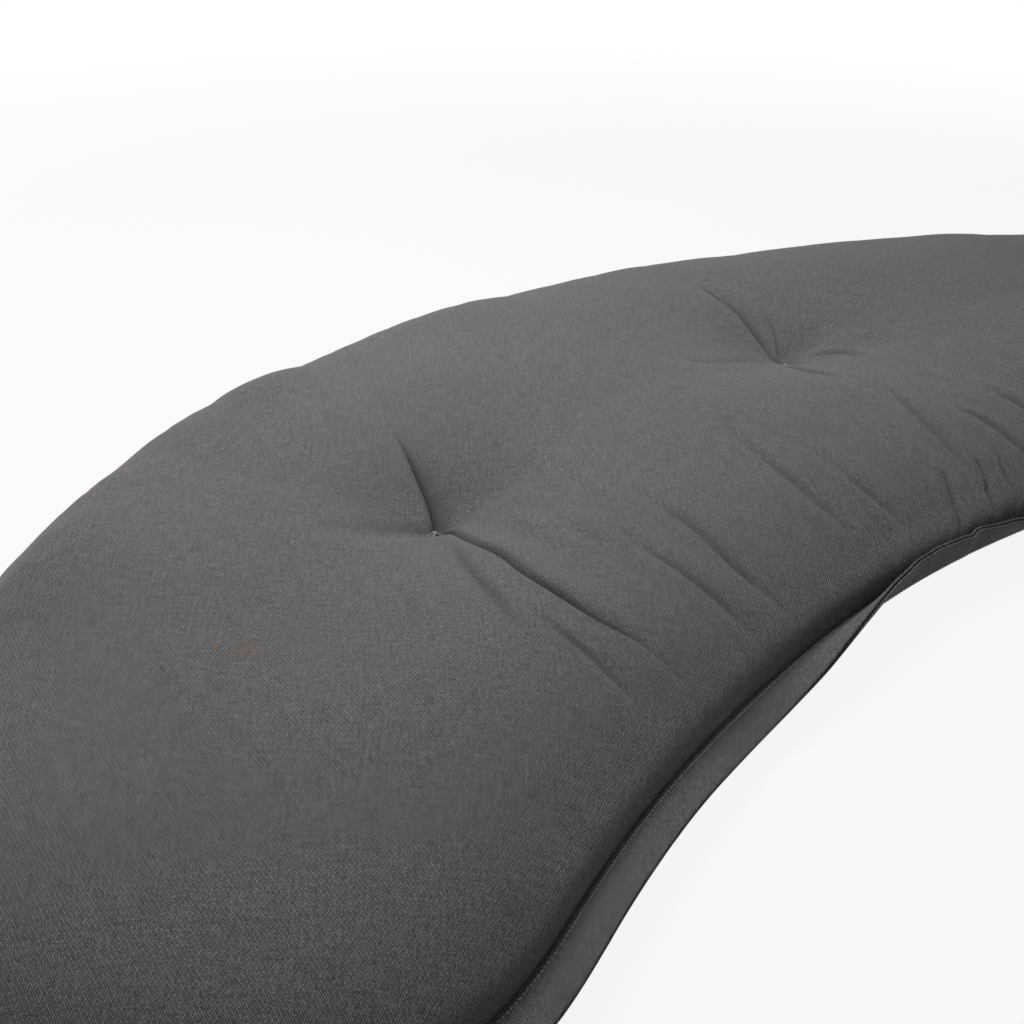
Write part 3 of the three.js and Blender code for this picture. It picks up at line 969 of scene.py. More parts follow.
@dataclass
class Filling:
    """The fibre filling, whose pressure swells the sewn cover in a cloth simulation."""

    plan: SeamPlan
    relief: Relief
    pressure: float = 4.0
    frames: int = 20
    spare_cloth: float = 0.02
    sink: float = 8.0
    most: float = 25.0
    tuft_reach: float = 7.0
    rise_share: float = 0.35
    side_share: float = 0.9
    held_rim: float = 0.05
    crumple_share: float = 0.2
    passes: int = 30
    tuft_calm: float = 22.0

    def shell(self) -> CushionPad:
        """The coarse plain pad that is swollen."""
        return CushionPad(self.plan, self.relief, Stations(self.plan, *SHELL_STATIONS),
                          ring_spacing=(6.0, 7.5, 4.0), creased=False)

    def swell(self) -> Swelling:
        """Swells the shell.

        Returns:
            How far its points moved.
        """
        pad = self.shell()
        crown, source = pad.crown_grid()
        foot = pad.foot_grid()
        loose = 1 - np.exp(-((self.tuft_distances(source) / self.tuft_calm) ** 2))
        lift = ((1 - source.share**2) * loose)[..., None] * np.array([0.0, 0.0, self.sink * MM])
        rest = np.concatenate([crown - lift, foot])
        rounded = np.round(rest.reshape(-1, 3) / SAME_PLACE).astype(np.int64)
        _, first, where = np.unique(rounded, axis=0, return_index=True, return_inverse=True)
        where = where.ravel()
        faces = []
        for face in ring_faces(len(rest), len(pad.stations)):
            corners = list(dict.fromkeys(int(where[i]) for i in face))
            if len(corners) > 2:
                faces.append(corners)
        points = rest.reshape(-1, 3)[first]
        held = self.held_points(pad, source, foot).ravel()[first]
        moved = self.simulate(points, faces, held)[where].reshape(rest.shape)
        change = moved - rest
        size = np.linalg.norm(change, axis=-1, keepdims=True)
        change = change * np.minimum(1.0, self.most * MM / np.maximum(size, 1e-9))
        change = self.evened(change, where.reshape(rest.shape[:2]), pad.stations.partners())
        rings = len(crown)
        change[:rings] *= (loose * np.clip((1 - source.share) / self.held_rim, 0, 1))[..., None]
        change[:rings] -= lift
        below = np.arange(len(foot))
        free = np.clip(np.minimum(below + 1, pad.side_rings - 1 - below) / 3, 0, 1)
        change[rings:] *= free[:, None, None]
        LOG.info("filling: moved the cover by up to %.1f mm", 1000 * size.max())
        return Swelling(pad.top_shares(), pad.stations.walks(), change[:rings], change[rings:])

    def evened(self, change: np.ndarray, names: np.ndarray, partners: np.ndarray) -> np.ndarray:
        """Evens out the small crumples of a movement and scales it.

        Args:
            change: Movements by ring and station.
            names: The shell's point at each ring and station; some share one.
            partners: The station across the middle line from each one.

        Returns:
            The movements to use.
        """
        even = change
        for _ in range(self.passes):
            even = (np.roll(even, 1, axis=1) + 2 * even + np.roll(even, -1, axis=1)) / 4
            rings = np.concatenate([even[1:2, partners], even, even[-2:-1, partners]])
            even = (rings[:-2] + 2 * even + rings[2:]) / 4
        for ring in (0, -1):
            _, point = np.unique(names[ring], return_inverse=True)
            point = point.ravel()
            total = np.stack([np.bincount(point, weights=column) for column in even[ring].T], axis=1)
            even[ring] = (total / np.bincount(point)[:, None])[point]
        kept = even + self.crumple_share * (change - even)
        return kept * np.array([self.side_share, self.side_share, self.rise_share])

    def tuft_distances(self, source: PadSource) -> np.ndarray:
        """Distance of each crown point from its nearest tuft, in millimetres."""
        return np.min([self.plan.distance(source.flat, deg) for deg in TUFTS], axis=0) / MM

    def held_points(self, pad: CushionPad, source: PadSource, foot: np.ndarray) -> np.ndarray:
        """Which points the seam, the ground and the tufts hold."""
        held = (source.share > 0.999) | (self.tuft_distances(source) < self.tuft_reach)
        below = np.zeros(foot.shape[:2], dtype=bool)
        below[pad.side_rings - 1:] = True
        return np.concatenate([held, below])

    def simulate(self, points: np.ndarray, faces: list, held: np.ndarray) -> np.ndarray:
        """Runs the cloth simulation.

        Args:
            points: The shell's points.
            faces: Its faces.
            held: Which points stay where they are.

        Returns:
            The points after the last frame.
        """
        mesh = bpy.data.meshes.new("filled_shell")
        mesh.from_pydata(points.tolist(), [], faces)
        thing = link_object("filled_shell", mesh)
        scene = bpy.context.scene
        pins = thing.vertex_groups.new(name=SHELL_CLOTH["vertex_group_mass"])
        pins.add([int(i) for i in np.flatnonzero(held)], 1.0, "REPLACE")
        cloth = thing.modifiers.new("cloth", "CLOTH")
        for name, value in SHELL_CLOTH.items():
            setattr(cloth.settings, name, value)
        cloth.settings.uniform_pressure_force = self.pressure
        cloth.settings.shrink_min = -self.spare_cloth
        cloth.settings.effector_weights.gravity = 0
        cloth.collision_settings.use_collision = False
        cloth.point_cache.frame_end = self.frames
        for frame in range(1, self.frames + 1):
            scene.frame_set(frame)
        graph = bpy.context.evaluated_depsgraph_get()
        moved = read_rows(thing.evaluated_get(graph).data.vertices, "co")
        bpy.data.objects.remove(thing)
        scene.frame_set(1)
        return moved


def read_rows(items: bpy.types.bpy_prop_collection, name: str, width: int = 3) -> np.ndarray:
    """Reads one property of all items of a mesh.

    Args:
        items: The mesh's points, normals or attribute values.
        name: The property.
        width: How many numbers it has.

    Returns:
        One row for each item.
    """
    numbers = np.empty(len(items) * width, dtype=np.float32)
    items.foreach_get(name, numbers)
    return numbers.reshape(-1, width).astype(float)


def moved_normals(mesh: bpy.types.Mesh, points: np.ndarray) -> np.ndarray:
    """Moves a mesh's points and reads its new normals.

    Args:
        mesh: The mesh.
        points: Where its points go, in metres.

    Returns:
        One unit normal for each point.
    """
    mesh.vertices.foreach_set("co", points.astype(np.float32).ravel())
    mesh.update()
    return read_rows(mesh.vertex_normals, "vector")


def keep_values(mesh: bpy.types.Mesh, name: str, values: np.ndarray) -> None:
    """Stores one number for each point of a mesh as an attribute."""
    layer = mesh.attributes.new(name, "FLOAT", "POINT")
    layer.data.foreach_set("value", values.astype(np.float32))


def take_numbers(mesh: bpy.types.Mesh) -> np.ndarray:
    """Reads back the numbers that the points are worked out from, and removes them.

    Args:
        mesh: The mesh.

    Returns:
        One row for each point.
    """
    columns = []
    for name in NUMBER_NAMES:
        layer = mesh.attributes[name]
        columns.append(read_rows(layer.data, "value", 1)[:, 0])
        mesh.attributes.remove(layer)
    return np.stack(columns, axis=-1)


def merge_close(thing: bpy.types.Object) -> None:
    """Joins the corner points of a mesh that lie on each other.

    Args:
        thing: The mesh object.
    """
    shell = bmesh.new()
    shell.from_mesh(thing.data)
    bmesh.ops.remove_doubles(shell, verts=shell.verts, dist=SAME_PLACE)
    bmesh.ops.dissolve_degenerate(shell, edges=shell.edges, dist=SAME_PLACE)
    shell.to_mesh(thing.data)
    shell.free()
    smooth_faces(thing.data)


# Flange: how far it is turned up along the concave edge, as place and degrees above level.
FLANGE_LIE = (
    (-30, -2), (-25, 16), (-20, 46), (-15, 28), (-10, 5), (-4, 12), (1, 34), (3.5, 48), (4.8, 67),
    (6.5, 64), (8, 74), (9.6, 80), (11, 66), (13, 47), (15, 28), (17, 0), (19, -19), (21, -22),
    (24, -6), (30, -4),
)
# Small tucks of the flange on that edge: where, how far each one turns it, and its reach.
FLANGE_TUCKS = (
    (10.0, -2, 1.2), (6.2, 6, 0.5), (6.7, -4, 0.25), (-2.5, 8, 0.5), (-13, -8, 0.5),
    (-21.5, 9, 0.5),
)


@dataclass
class EdgeFlange:
    """The flange: the two panels' edges, turned and topstitched together beside the seam."""

    stations: Stations
    seam_places: np.ndarray
    width: float = 20.5
    half_seam: float = 1.2
    half_body: float = 1.8
    body_from: float = 0.6
    body_to: float = 7.0
    stitch_at: float = 3.4
    stitch_hump: float = 0.8
    hump_reach: float = 1.2
    tuck_in: float = 0.3
    bend_reach: float = 4.4
    bend_steps: int = 24
    droop_tilt: float = -30.0
    sway_deg: float = 2.0
    sway_length: float = 0.11
    sway_seed: int = 5
    ruffle: float = 0.35
    ruffle_length: float = 0.045
    ruffle_seed: int = 9
    pulled: tuple[float, float] = (9.5, 12.5)
    pulled_share: float = 0.95
    narrowed: tuple[float, float] = (14.0, 18.0)
    narrow_share: float = 0.1
    narrow_steps: tuple[float, float] = (3.0, 8.0)
    inner_turn: float = 0.6

    def liveliness(self) -> np.ndarray:
        """How freely the flange waves: little where the left horn's inner edge pulls it straight."""
        straight = smooth(self.stations.deg, *self.pulled) * self.on_inner_edge()
        return 1 - self.pulled_share * straight

    def widths(self) -> np.ndarray:
        """Share of the full width at each station: less where the left horn's inner edge droops."""
        return 1 - self.narrow_share * smooth(self.stations.deg, *self.narrowed) * self.on_inner_edge()

    def on_inner_edge(self) -> np.ndarray:
        """1 along the concave edge, easing to 0 round the ends."""
        return 1 - smooth(self.stations.turn, 0, self.inner_turn)

    def tilts(self) -> np.ndarray:
        """Tilt of the flange at each station, in degrees above level."""
        rows = np.array(FLANGE_LIE, dtype=float)
        limit = self.stations.plan.cap_deg
        deg = np.clip(self.stations.deg, -limit, limit)
        round_deg = deg[:, None] + np.linspace(-1, 1, 9)
        lie = np.interp(round_deg, rows[:, 0], rows[:, 1]).mean(axis=1)
        inner = self.stations.turn == 0
        for tuck_deg, turn, reach in FLANGE_TUCKS:
            off = (self.stations.deg - tuck_deg) / reach
            lie = lie + turn * np.exp(-(off**2)) * inner
        sway = self.sway_deg * self.waves(self.sway_length, self.sway_seed) * self.liveliness()
        return lie + (self.droop_tilt - lie) * smooth(self.stations.turn, 0, math.pi) + sway

    def waves(self, length: float, seed: int) -> np.ndarray:
        """Irregular waves along the seam that close on themselves.

        Args:
            length: The usual wavelength in metres.
            seed: The seed of their phases.

        Returns:
            Numbers of about -1 to 1, one for each station.
        """
        rng = np.random.default_rng(seed)
        distance = self.stations.distances()
        whole = distance[-1] * (1 + 1 / len(distance))
        base = whole / length
        turns = np.round(base * np.array([0.43, 0.71, 1.0, 1.37, 1.9]))
        phases = rng.uniform(0, math.tau, 5)
        parts = [np.sin(math.tau * t * distance / whole + p) for t, p in zip(turns, phases)]
        return sum(parts) / 2.2

    def half_at(self, step: float) -> float:
        """Half of the flange's thickness at a distance from its root, all in millimetres."""
        full = smooth(np.array(step), self.body_from, self.body_to)
        return float(self.half_seam + (self.half_body - self.half_seam) * full)

    def section(self) -> list[tuple[float, float]]:
        """Section of the flange as distance from the root and share of the half thickness."""
        side = [(s, 1.0) for s in (0, 1.0, 1.9, 2.6, 3.2, 3.8, 4.6, 6, 8.5, 11, 13.5, 16, 18, 19.2)]
        rim = [(19.9, 0.96), (20.35, 0.82), (20.5, 0.6), (20.3, 0.38), (19.5, 0.2), (18.4, 0.08)]
        upper = side + rim
        lower = [(step, -share) for step, share in reversed(upper)]
        return upper + lower

    def build(self) -> bpy.types.Object:
        """Makes the flange's mesh.

        Returns:
            The flange.
        """
        grid = np.stack([self.line(step, share) for step, share in self.section()])
        places = np.stack([self.seam_places + self.stations.outwards() * step * MM
                           for step, _ in self.section()])
        corners, count = grid.shape[:2]
        whole = corners * count
        faces = [tuple(i % whole for i in face) for face in ring_faces(corners + 1, count)]
        return make_mesh("edge_flange_cloth", grid.reshape(-1, 3), faces, places.reshape(-1, 2))

    def line(self, step: float, share: float, proud: float = 0.0) -> np.ndarray:
        """A line along the whole flange.

        Args:
            step: Distance from the flange's root in millimetres.
            share: Place through the thickness, from 1 on the upper face to -1 on the lower.
            proud: How far the line stands off the cloth in millimetres.

        Returns:
            Points in metres, one for each station.
        """
        tilt = np.radians(self.tilts())[:, None]
        reach = step * (1 - (1 - self.widths()) * smooth(np.array(step), *self.narrow_steps))
        fine = reach[:, None] * np.linspace(0, 1, self.bend_steps)[None, :]
        bend = tilt * smooth((fine[:, 1:] + fine[:, :-1]) / 2, 0, self.bend_reach)
        each = np.diff(fine, axis=1)
        out = (each * np.cos(bend)).sum(axis=1)
        up = (each * np.sin(bend)).sum(axis=1)
        here = (tilt * smooth(reach[:, None], 0, self.bend_reach))[:, 0]
        waves = self.waves(self.ruffle_length, self.ruffle_seed)
        ruffle = self.ruffle * self.liveliness() * waves * (step / self.width) ** 2
        off_row = (step - self.stitch_at) / self.hump_reach
        hump = self.stitch_hump * math.exp(-(off_row**2)) * (share > 0)
        rise = share * self.half_at(step) + math.copysign(proud, share) + hump + ruffle
        out = out - rise * np.sin(here) - self.tuck_in
        up = up + rise * np.cos(here)
        flat = self.stations.points() + self.stations.outwards() * (out * MM)[:, None]
        height = (SEAM_HEIGHT + up) * MM
        return np.concatenate([flat, height[:, None]], axis=1)


# ---------------------------------------------------------------- stitches, by Geometry Nodes


def add_node(tree: bpy.types.NodeTree, kind: str, settings: dict | None = None,
             sockets: dict | None = None) -> bpy.types.Node:
    """Adds a node to a tree.

    Args:
        tree: The tree.
        kind: The node's type.
        settings: Its properties, set first.
        sockets: Values, sockets or Numbers for its inputs, by name or place.

    Returns:
        The node.
    """
    made = tree.nodes.new(kind)
    for name, value in (settings or {}).items():
        setattr(made, name, value)
    for name, value in (sockets or {}).items():
        value = value.socket if isinstance(value, Number) else value
        if isinstance(value, bpy.types.NodeSocket):
            tree.links.new(value, made.inputs[name])
        else:
            made.inputs[name].default_value = value
    return made


class NodeTree:
    """A Geometry Nodes tree with named inputs, built node by node."""

    def __init__(self, name: str) -> None:
        """Starts a tree that takes and gives geometry.

        Args:
            name: The tree's name.
        """
        self.tree = bpy.data.node_groups.new(name, "GeometryNodeTree")
        self.tree.interface.new_socket("Geometry", in_out="INPUT", socket_type="NodeSocketGeometry")
        self.tree.interface.new_socket("Geometry", in_out="OUTPUT", socket_type="NodeSocketGeometry")
        self.inside = self.tree.nodes.new("NodeGroupInput")
        self.outside = self.tree.nodes.new("NodeGroupOutput")

    def number(self, name: str, default: float) -> bpy.types.NodeSocket:
        """Adds a named number to the tree's inputs.

        Args:
            name: The input's name.
            default: Its usual value.

        Returns:
            The socket that carries it inside the tree.
        """
        entry = self.tree.interface.new_socket(name, in_out="INPUT", socket_type="NodeSocketFloat")
        entry.default_value = default
        return self.inside.outputs[name]

    def material(self, name: str) -> bpy.types.NodeSocket:
        """Adds a named material to the tree's inputs and returns its inner socket."""
        self.tree.interface.new_socket(name, in_out="INPUT", socket_type="NodeSocketMaterial")
        return self.inside.outputs[name]

    def node(self, kind: str, settings: dict | None = None, sockets: dict | None = None) -> bpy.types.Node:
        """Adds a node with its properties and with values or links for its inputs."""
        return add_node(self.tree, kind, settings, sockets)

    def finish(self, geometry: bpy.types.NodeSocket, material: bpy.types.NodeSocket) -> None:
        """Realizes the instances, sets the material and closes the tree.

        Args:
            geometry: The socket that carries the result.
            material: The socket that carries its material.
        """
        real = self.node("GeometryNodeRealizeInstances", sockets={"Geometry": geometry})
        dressed = self.node("GeometryNodeSetMaterial",
                            sockets={"Geometry": real.outputs[0], "Material": material})
        self.tree.links.new(dressed.outputs[0], self.outside.inputs[0])

    def apply(self, carrier: bpy.types.Object, name: str, values: dict) -> bpy.types.Object:
        """Runs the tree on an object and keeps the result as a plain mesh.

        Args:
            carrier: The object that the tree starts from; it is removed.
            name: The name of the result.
            values: Values of the tree's named inputs.

        Returns:
            The new mesh object.
        """
        modifier = carrier.modifiers.new("make", "NODES")
        modifier.node_group = self.tree
        for entry in self.tree.interface.items_tree:
            if entry.in_out == "INPUT" and entry.name in values:
                modifier[entry.identifier] = values[entry.name]
        bpy.context.view_layer.update()
        graph = bpy.context.evaluated_depsgraph_get()
        mesh = bpy.data.meshes.new_from_object(carrier.evaluated_get(graph))
        mesh.name = name
        carrier.modifiers.remove(modifier)
        bpy.data.objects.remove(carrier)
        return link_object(name, mesh)


def make_curve(name: str, routes: list[np.ndarray], closed: bool) -> bpy.types.Object:
    """Makes an object of poly curves.

    Args:
        name: The object's name.
        routes: The points of each curve.
        closed: Whether the curves close on themselves.

    Returns:
        The new object.
    """
    curve = bpy.data.curves.new(name, "CURVE")
    curve.dimensions = "3D"
    for route in routes:
        spline = curve.splines.new("POLY")
        spline.points.add(len(route) - 1)
        spline.points.foreach_set("co", np.c_[route, np.ones(len(route))].ravel())
        spline.use_cyclic_u = closed
    return link_object(name, curve)


@dataclass
class Topstitching:
    """The row of stitches that holds the flange's layers together, on both faces."""

    flange: EdgeFlange
    pitch: float = 2.9 * MM
    thread: float = 0.75 * MM
    stitch_length: float = 2.2 * MM
    lean: float = 0.07
    proud_above: float = 0.25
    proud_below: float = 0.0
    seed: int = 11

    def tree(self) -> NodeTree:
        """The tree that lays one thread loop at each step along a line."""
        made = NodeTree("topstitch_row")
        pitch = made.number("Pitch", self.pitch)
        length = made.number("Stitch length", self.stitch_length)
        thread = made.number("Thread", self.thread)
        material = made.material("Material")
        steps = made.node("GeometryNodeResampleCurve", {"mode": "LENGTH"},
                          {"Curve": made.inside.outputs[0], "Length": pitch})
        tangent = made.node("GeometryNodeInputTangent")
        lean = made.node("FunctionNodeRandomValue", {"data_type": "FLOAT_VECTOR"},
                         {"Min": (-self.lean,) * 3, "Max": (self.lean,) * 3, "Seed": self.seed})
        aim = made.node("ShaderNodeVectorMath", {"operation": "ADD"},
                        {0: tangent.outputs[0], 1: lean.outputs[0]})
        turn = made.node("FunctionNodeAlignEulerToVector", {"axis": "X"}, {"Vector": aim.outputs[0]})
        loop = made.node("GeometryNodeMeshUVSphere",
                         sockets={"Segments": 6, "Rings": 5, "Radius": 0.5})
        size = made.node("ShaderNodeCombineXYZ", sockets={"X": length, "Y": thread, "Z": thread})
        row = made.node("GeometryNodeInstanceOnPoints", sockets={
            "Points": steps.outputs[0],
            "Instance": loop.outputs[0],
            "Rotation": turn.outputs[0],
            "Scale": size.outputs[0],
        })
        made.finish(row.outputs[0], material)
        return made

    def build(self, material: bpy.types.Material) -> bpy.types.Object:
        """Makes the stitches.

        Args:
            material: The thread's finish.

        Returns:
            One mesh with all stitches.
        """
        sides = ((1.0, self.proud_above), (-1.0, self.proud_below))
        routes = [self.flange.line(self.flange.stitch_at, side, proud) for side, proud in sides]
        carrier = make_curve("stitch_lines", routes, closed=True)
        return self.tree().apply(carrier, "flange_topstitching", {"Material": material})


@dataclass
class TuftTies:
    """The short crossed threads that draw each tuft down."""

    pad: CushionPad
    thread: float = 1.0 * MM
    span: float = 7.0 * MM
    strands: int = 3
    arch: float = 1.3 * MM
    spread_deg: float = 14.0
    crossing_deg: float = 62.0
    seed: int = 4

    def routes(self) -> list[np.ndarray]:
        """Routes of all strands.

        Returns:
            Points of each strand, in metres.
        """
        rng = np.random.default_rng(self.seed)
        found = []
        for deg, floor in zip(TUFTS, self.pad.tuft_heights()):
            middle = self.pad.plan.point(deg, 0.0)
            for strand in range(self.strands):
                spread = rng.uniform(-self.spread_deg, self.spread_deg)
                turn = math.radians(-deg + spread + self.crossing_deg * (strand == 1))
                run = np.array([math.cos(turn), math.sin(turn)])
                aside = np.array([-run[1], run[0]]) * (strand - 1) * self.thread * 0.9
                part = np.linspace(-1, 1, 9)
                flat = middle + aside + run * part[:, None] * self.span / 2
                rise = floor + self.arch * (1.3 - 2.2 * part**2) + strand * 0.2 * self.thread
                found.append(np.c_[flat, rise])
        return found

    def tree(self) -> NodeTree:
        """The tree that gives each route its round thread."""
        made = NodeTree("tuft_thread")
        thread = made.number("Thread", self.thread)
        material = made.material("Material")
        half = made.node("ShaderNodeMath", {"operation": "MULTIPLY"}, {0: thread, 1: 0.5})
        rim = made.node("GeometryNodeCurvePrimitiveCircle",
                        sockets={"Resolution": 10, "Radius": half.outputs[0]})
        tube = made.node("GeometryNodeCurveToMesh", sockets={
            "Curve": made.inside.outputs[0],
            "Profile Curve": rim.outputs[0],
            "Fill Caps": True,
        })
        made.finish(tube.outputs[0], material)
        return made

    def build(self, material: bpy.types.Material) -> bpy.types.Object:
        """Makes one mesh with all strands, in the thread's finish."""
        carrier = make_curve("tie_lines", self.routes(), closed=False)
        return self.tree().apply(carrier, "tuft_ties", {"Material": material})


# ---------------------------------------------------------------- finishes


def display(red: float, green: float, blue: float) -> tuple[float, float, float, float]:
    """Turns a colour as a display shows it, from 0 to 1, into the renderer's own numbers."""
    parts = [c / 12.92 if c <= 0.04045 else ((c + 0.055) / 1.055) ** 2.4 for c in (red, green, blue)]
    return (*parts, 1.0)


class Finish:
    """A material under construction."""

    def __init__(self, name: str) -> None:
        """Starts an empty material.

        Args:
            name: The material's name.
        """
        self.material = bpy.data.materials.new(name)
        self.material.use_nodes = True
        self.tree = self.material.node_tree
        self.tree.nodes.clear()

    def node(self, kind: str, settings: dict | None = None, sockets: dict | None = None) -> bpy.types.Node:
        """Adds a node with its properties and with values or links for its inputs."""
        return add_node(self.tree, kind, settings, sockets)

    def number(self, kind: str, output: str | int = 0, settings: dict | None = None,
               sockets: dict | None = None) -> "Number":
        """Adds a node and wraps one of its outputs as a number."""
        return Number(self, self.node(kind, settings, sockets).outputs[output])

    def noise(self, place: bpy.types.NodeSocket, scale: float, detail: float = 2.0,
              roughness: float = 0.5) -> "Number":
        """Smooth noise of about 0 to 1 over a place, with so many waves to a metre."""
        return self.number("ShaderNodeTexNoise", "Fac", sockets={
            "Vector": place, "Scale": scale, "Detail": detail, "Roughness": roughness})

    def blend(self, share: "Number", low: object, high: object) -> bpy.types.NodeSocket:
        """A colour that is the first one at 0 and the second one at 1."""
        mix = self.node("ShaderNodeMix", {"data_type": "RGBA"}, {0: share, 6: low, 7: high})
        return mix.outputs[2]

    def stretched(self, place: bpy.types.NodeSocket, scale: tuple[float, float, float],
                  turn_deg: float = 0.0) -> bpy.types.NodeSocket:
        """A place turned and scaled.

        Args:
            place: The vector to change.
            scale: Factors along x, y and z, after the turn.
            turn_deg: Turn about z in degrees.

        Returns:
            The changed vector's socket.
        """
        turned = self.node("ShaderNodeVectorRotate", {"rotation_type": "Z_AXIS"},
                           {"Vector": place, "Angle": math.radians(turn_deg)})
        scaled = self.node("ShaderNodeVectorMath", {"operation": "MULTIPLY"},
                           {0: turned.outputs[0], 1: scale})
        return scaled.outputs[0]

    def close(self, shader: bpy.types.Node) -> bpy.types.Material:
        """Joins the last shader to the output and gives the finished material."""
        self.node("ShaderNodeOutputMaterial", sockets={"Surface": shader.outputs[0]})
        return self.material


class Number:
    """A shader value that can be used in expressions."""

    def __init__(self, finish: Finish, socket: bpy.types.NodeSocket) -> None:
        """Wraps a socket of a material."""
        self.finish = finish
        self.socket = socket

    def math(self, operation: str, *others: object) -> "Number":
        """Adds a Math node of this value and the others."""
        sockets = dict(enumerate([self, *others]))
        return self.finish.number("ShaderNodeMath", 0, {"operation": operation}, sockets)

    def __add__(self, other: object) -> "Number":
        """Sum."""
        return self.math("ADD", other)

    __radd__ = __add__

    def __mul__(self, other: object) -> "Number":
        """Product."""
        return self.math("MULTIPLY", other)

    def __sub__(self, other: object) -> "Number":
        """Difference."""
        return self.math("SUBTRACT", other)

    def __rsub__(self, other: object) -> "Number":
        """Difference the other way round."""
        return self * -1.0 + other

    def __truediv__(self, other: object) -> "Number":
        """Quotient."""
        return self.math("DIVIDE", other)

    def wave(self) -> "Number":
        """Sine of pi times this value."""
        return (self * math.pi).math("SINE")

    def between(self, low: float, high: float) -> "Number":
        """Eases from 0 at low to 1 at high."""
        return self.finish.number("ShaderNodeMapRange", 0, {"interpolation_type": "SMOOTHSTEP"},
                                  {"Value": self, "From Min": low, "From Max": high})


@dataclass(frozen=True)
class Speck:
    """A small mark on the cover."""

    deg: float
    across: float
    radius: float
    colour: tuple[float, float, float, float]
    strength: float


@dataclass(frozen=True)
class Grain:
    """Unevenness of the yarn's tone: its waves to a metre along and across the warp."""

    along: float
    across: float
    strength: float
    detail: float = 1.0
    roughness: float = 0.5

    def noise(self, finish: Finish, place: bpy.types.NodeSocket) -> Number:
        """The unevenness, from about 0 to 1, over a place on the cloth."""
        spread = finish.stretched(place, (self.along, self.across, 0))
        return finish.noise(spread, 1, self.detail, self.roughness)


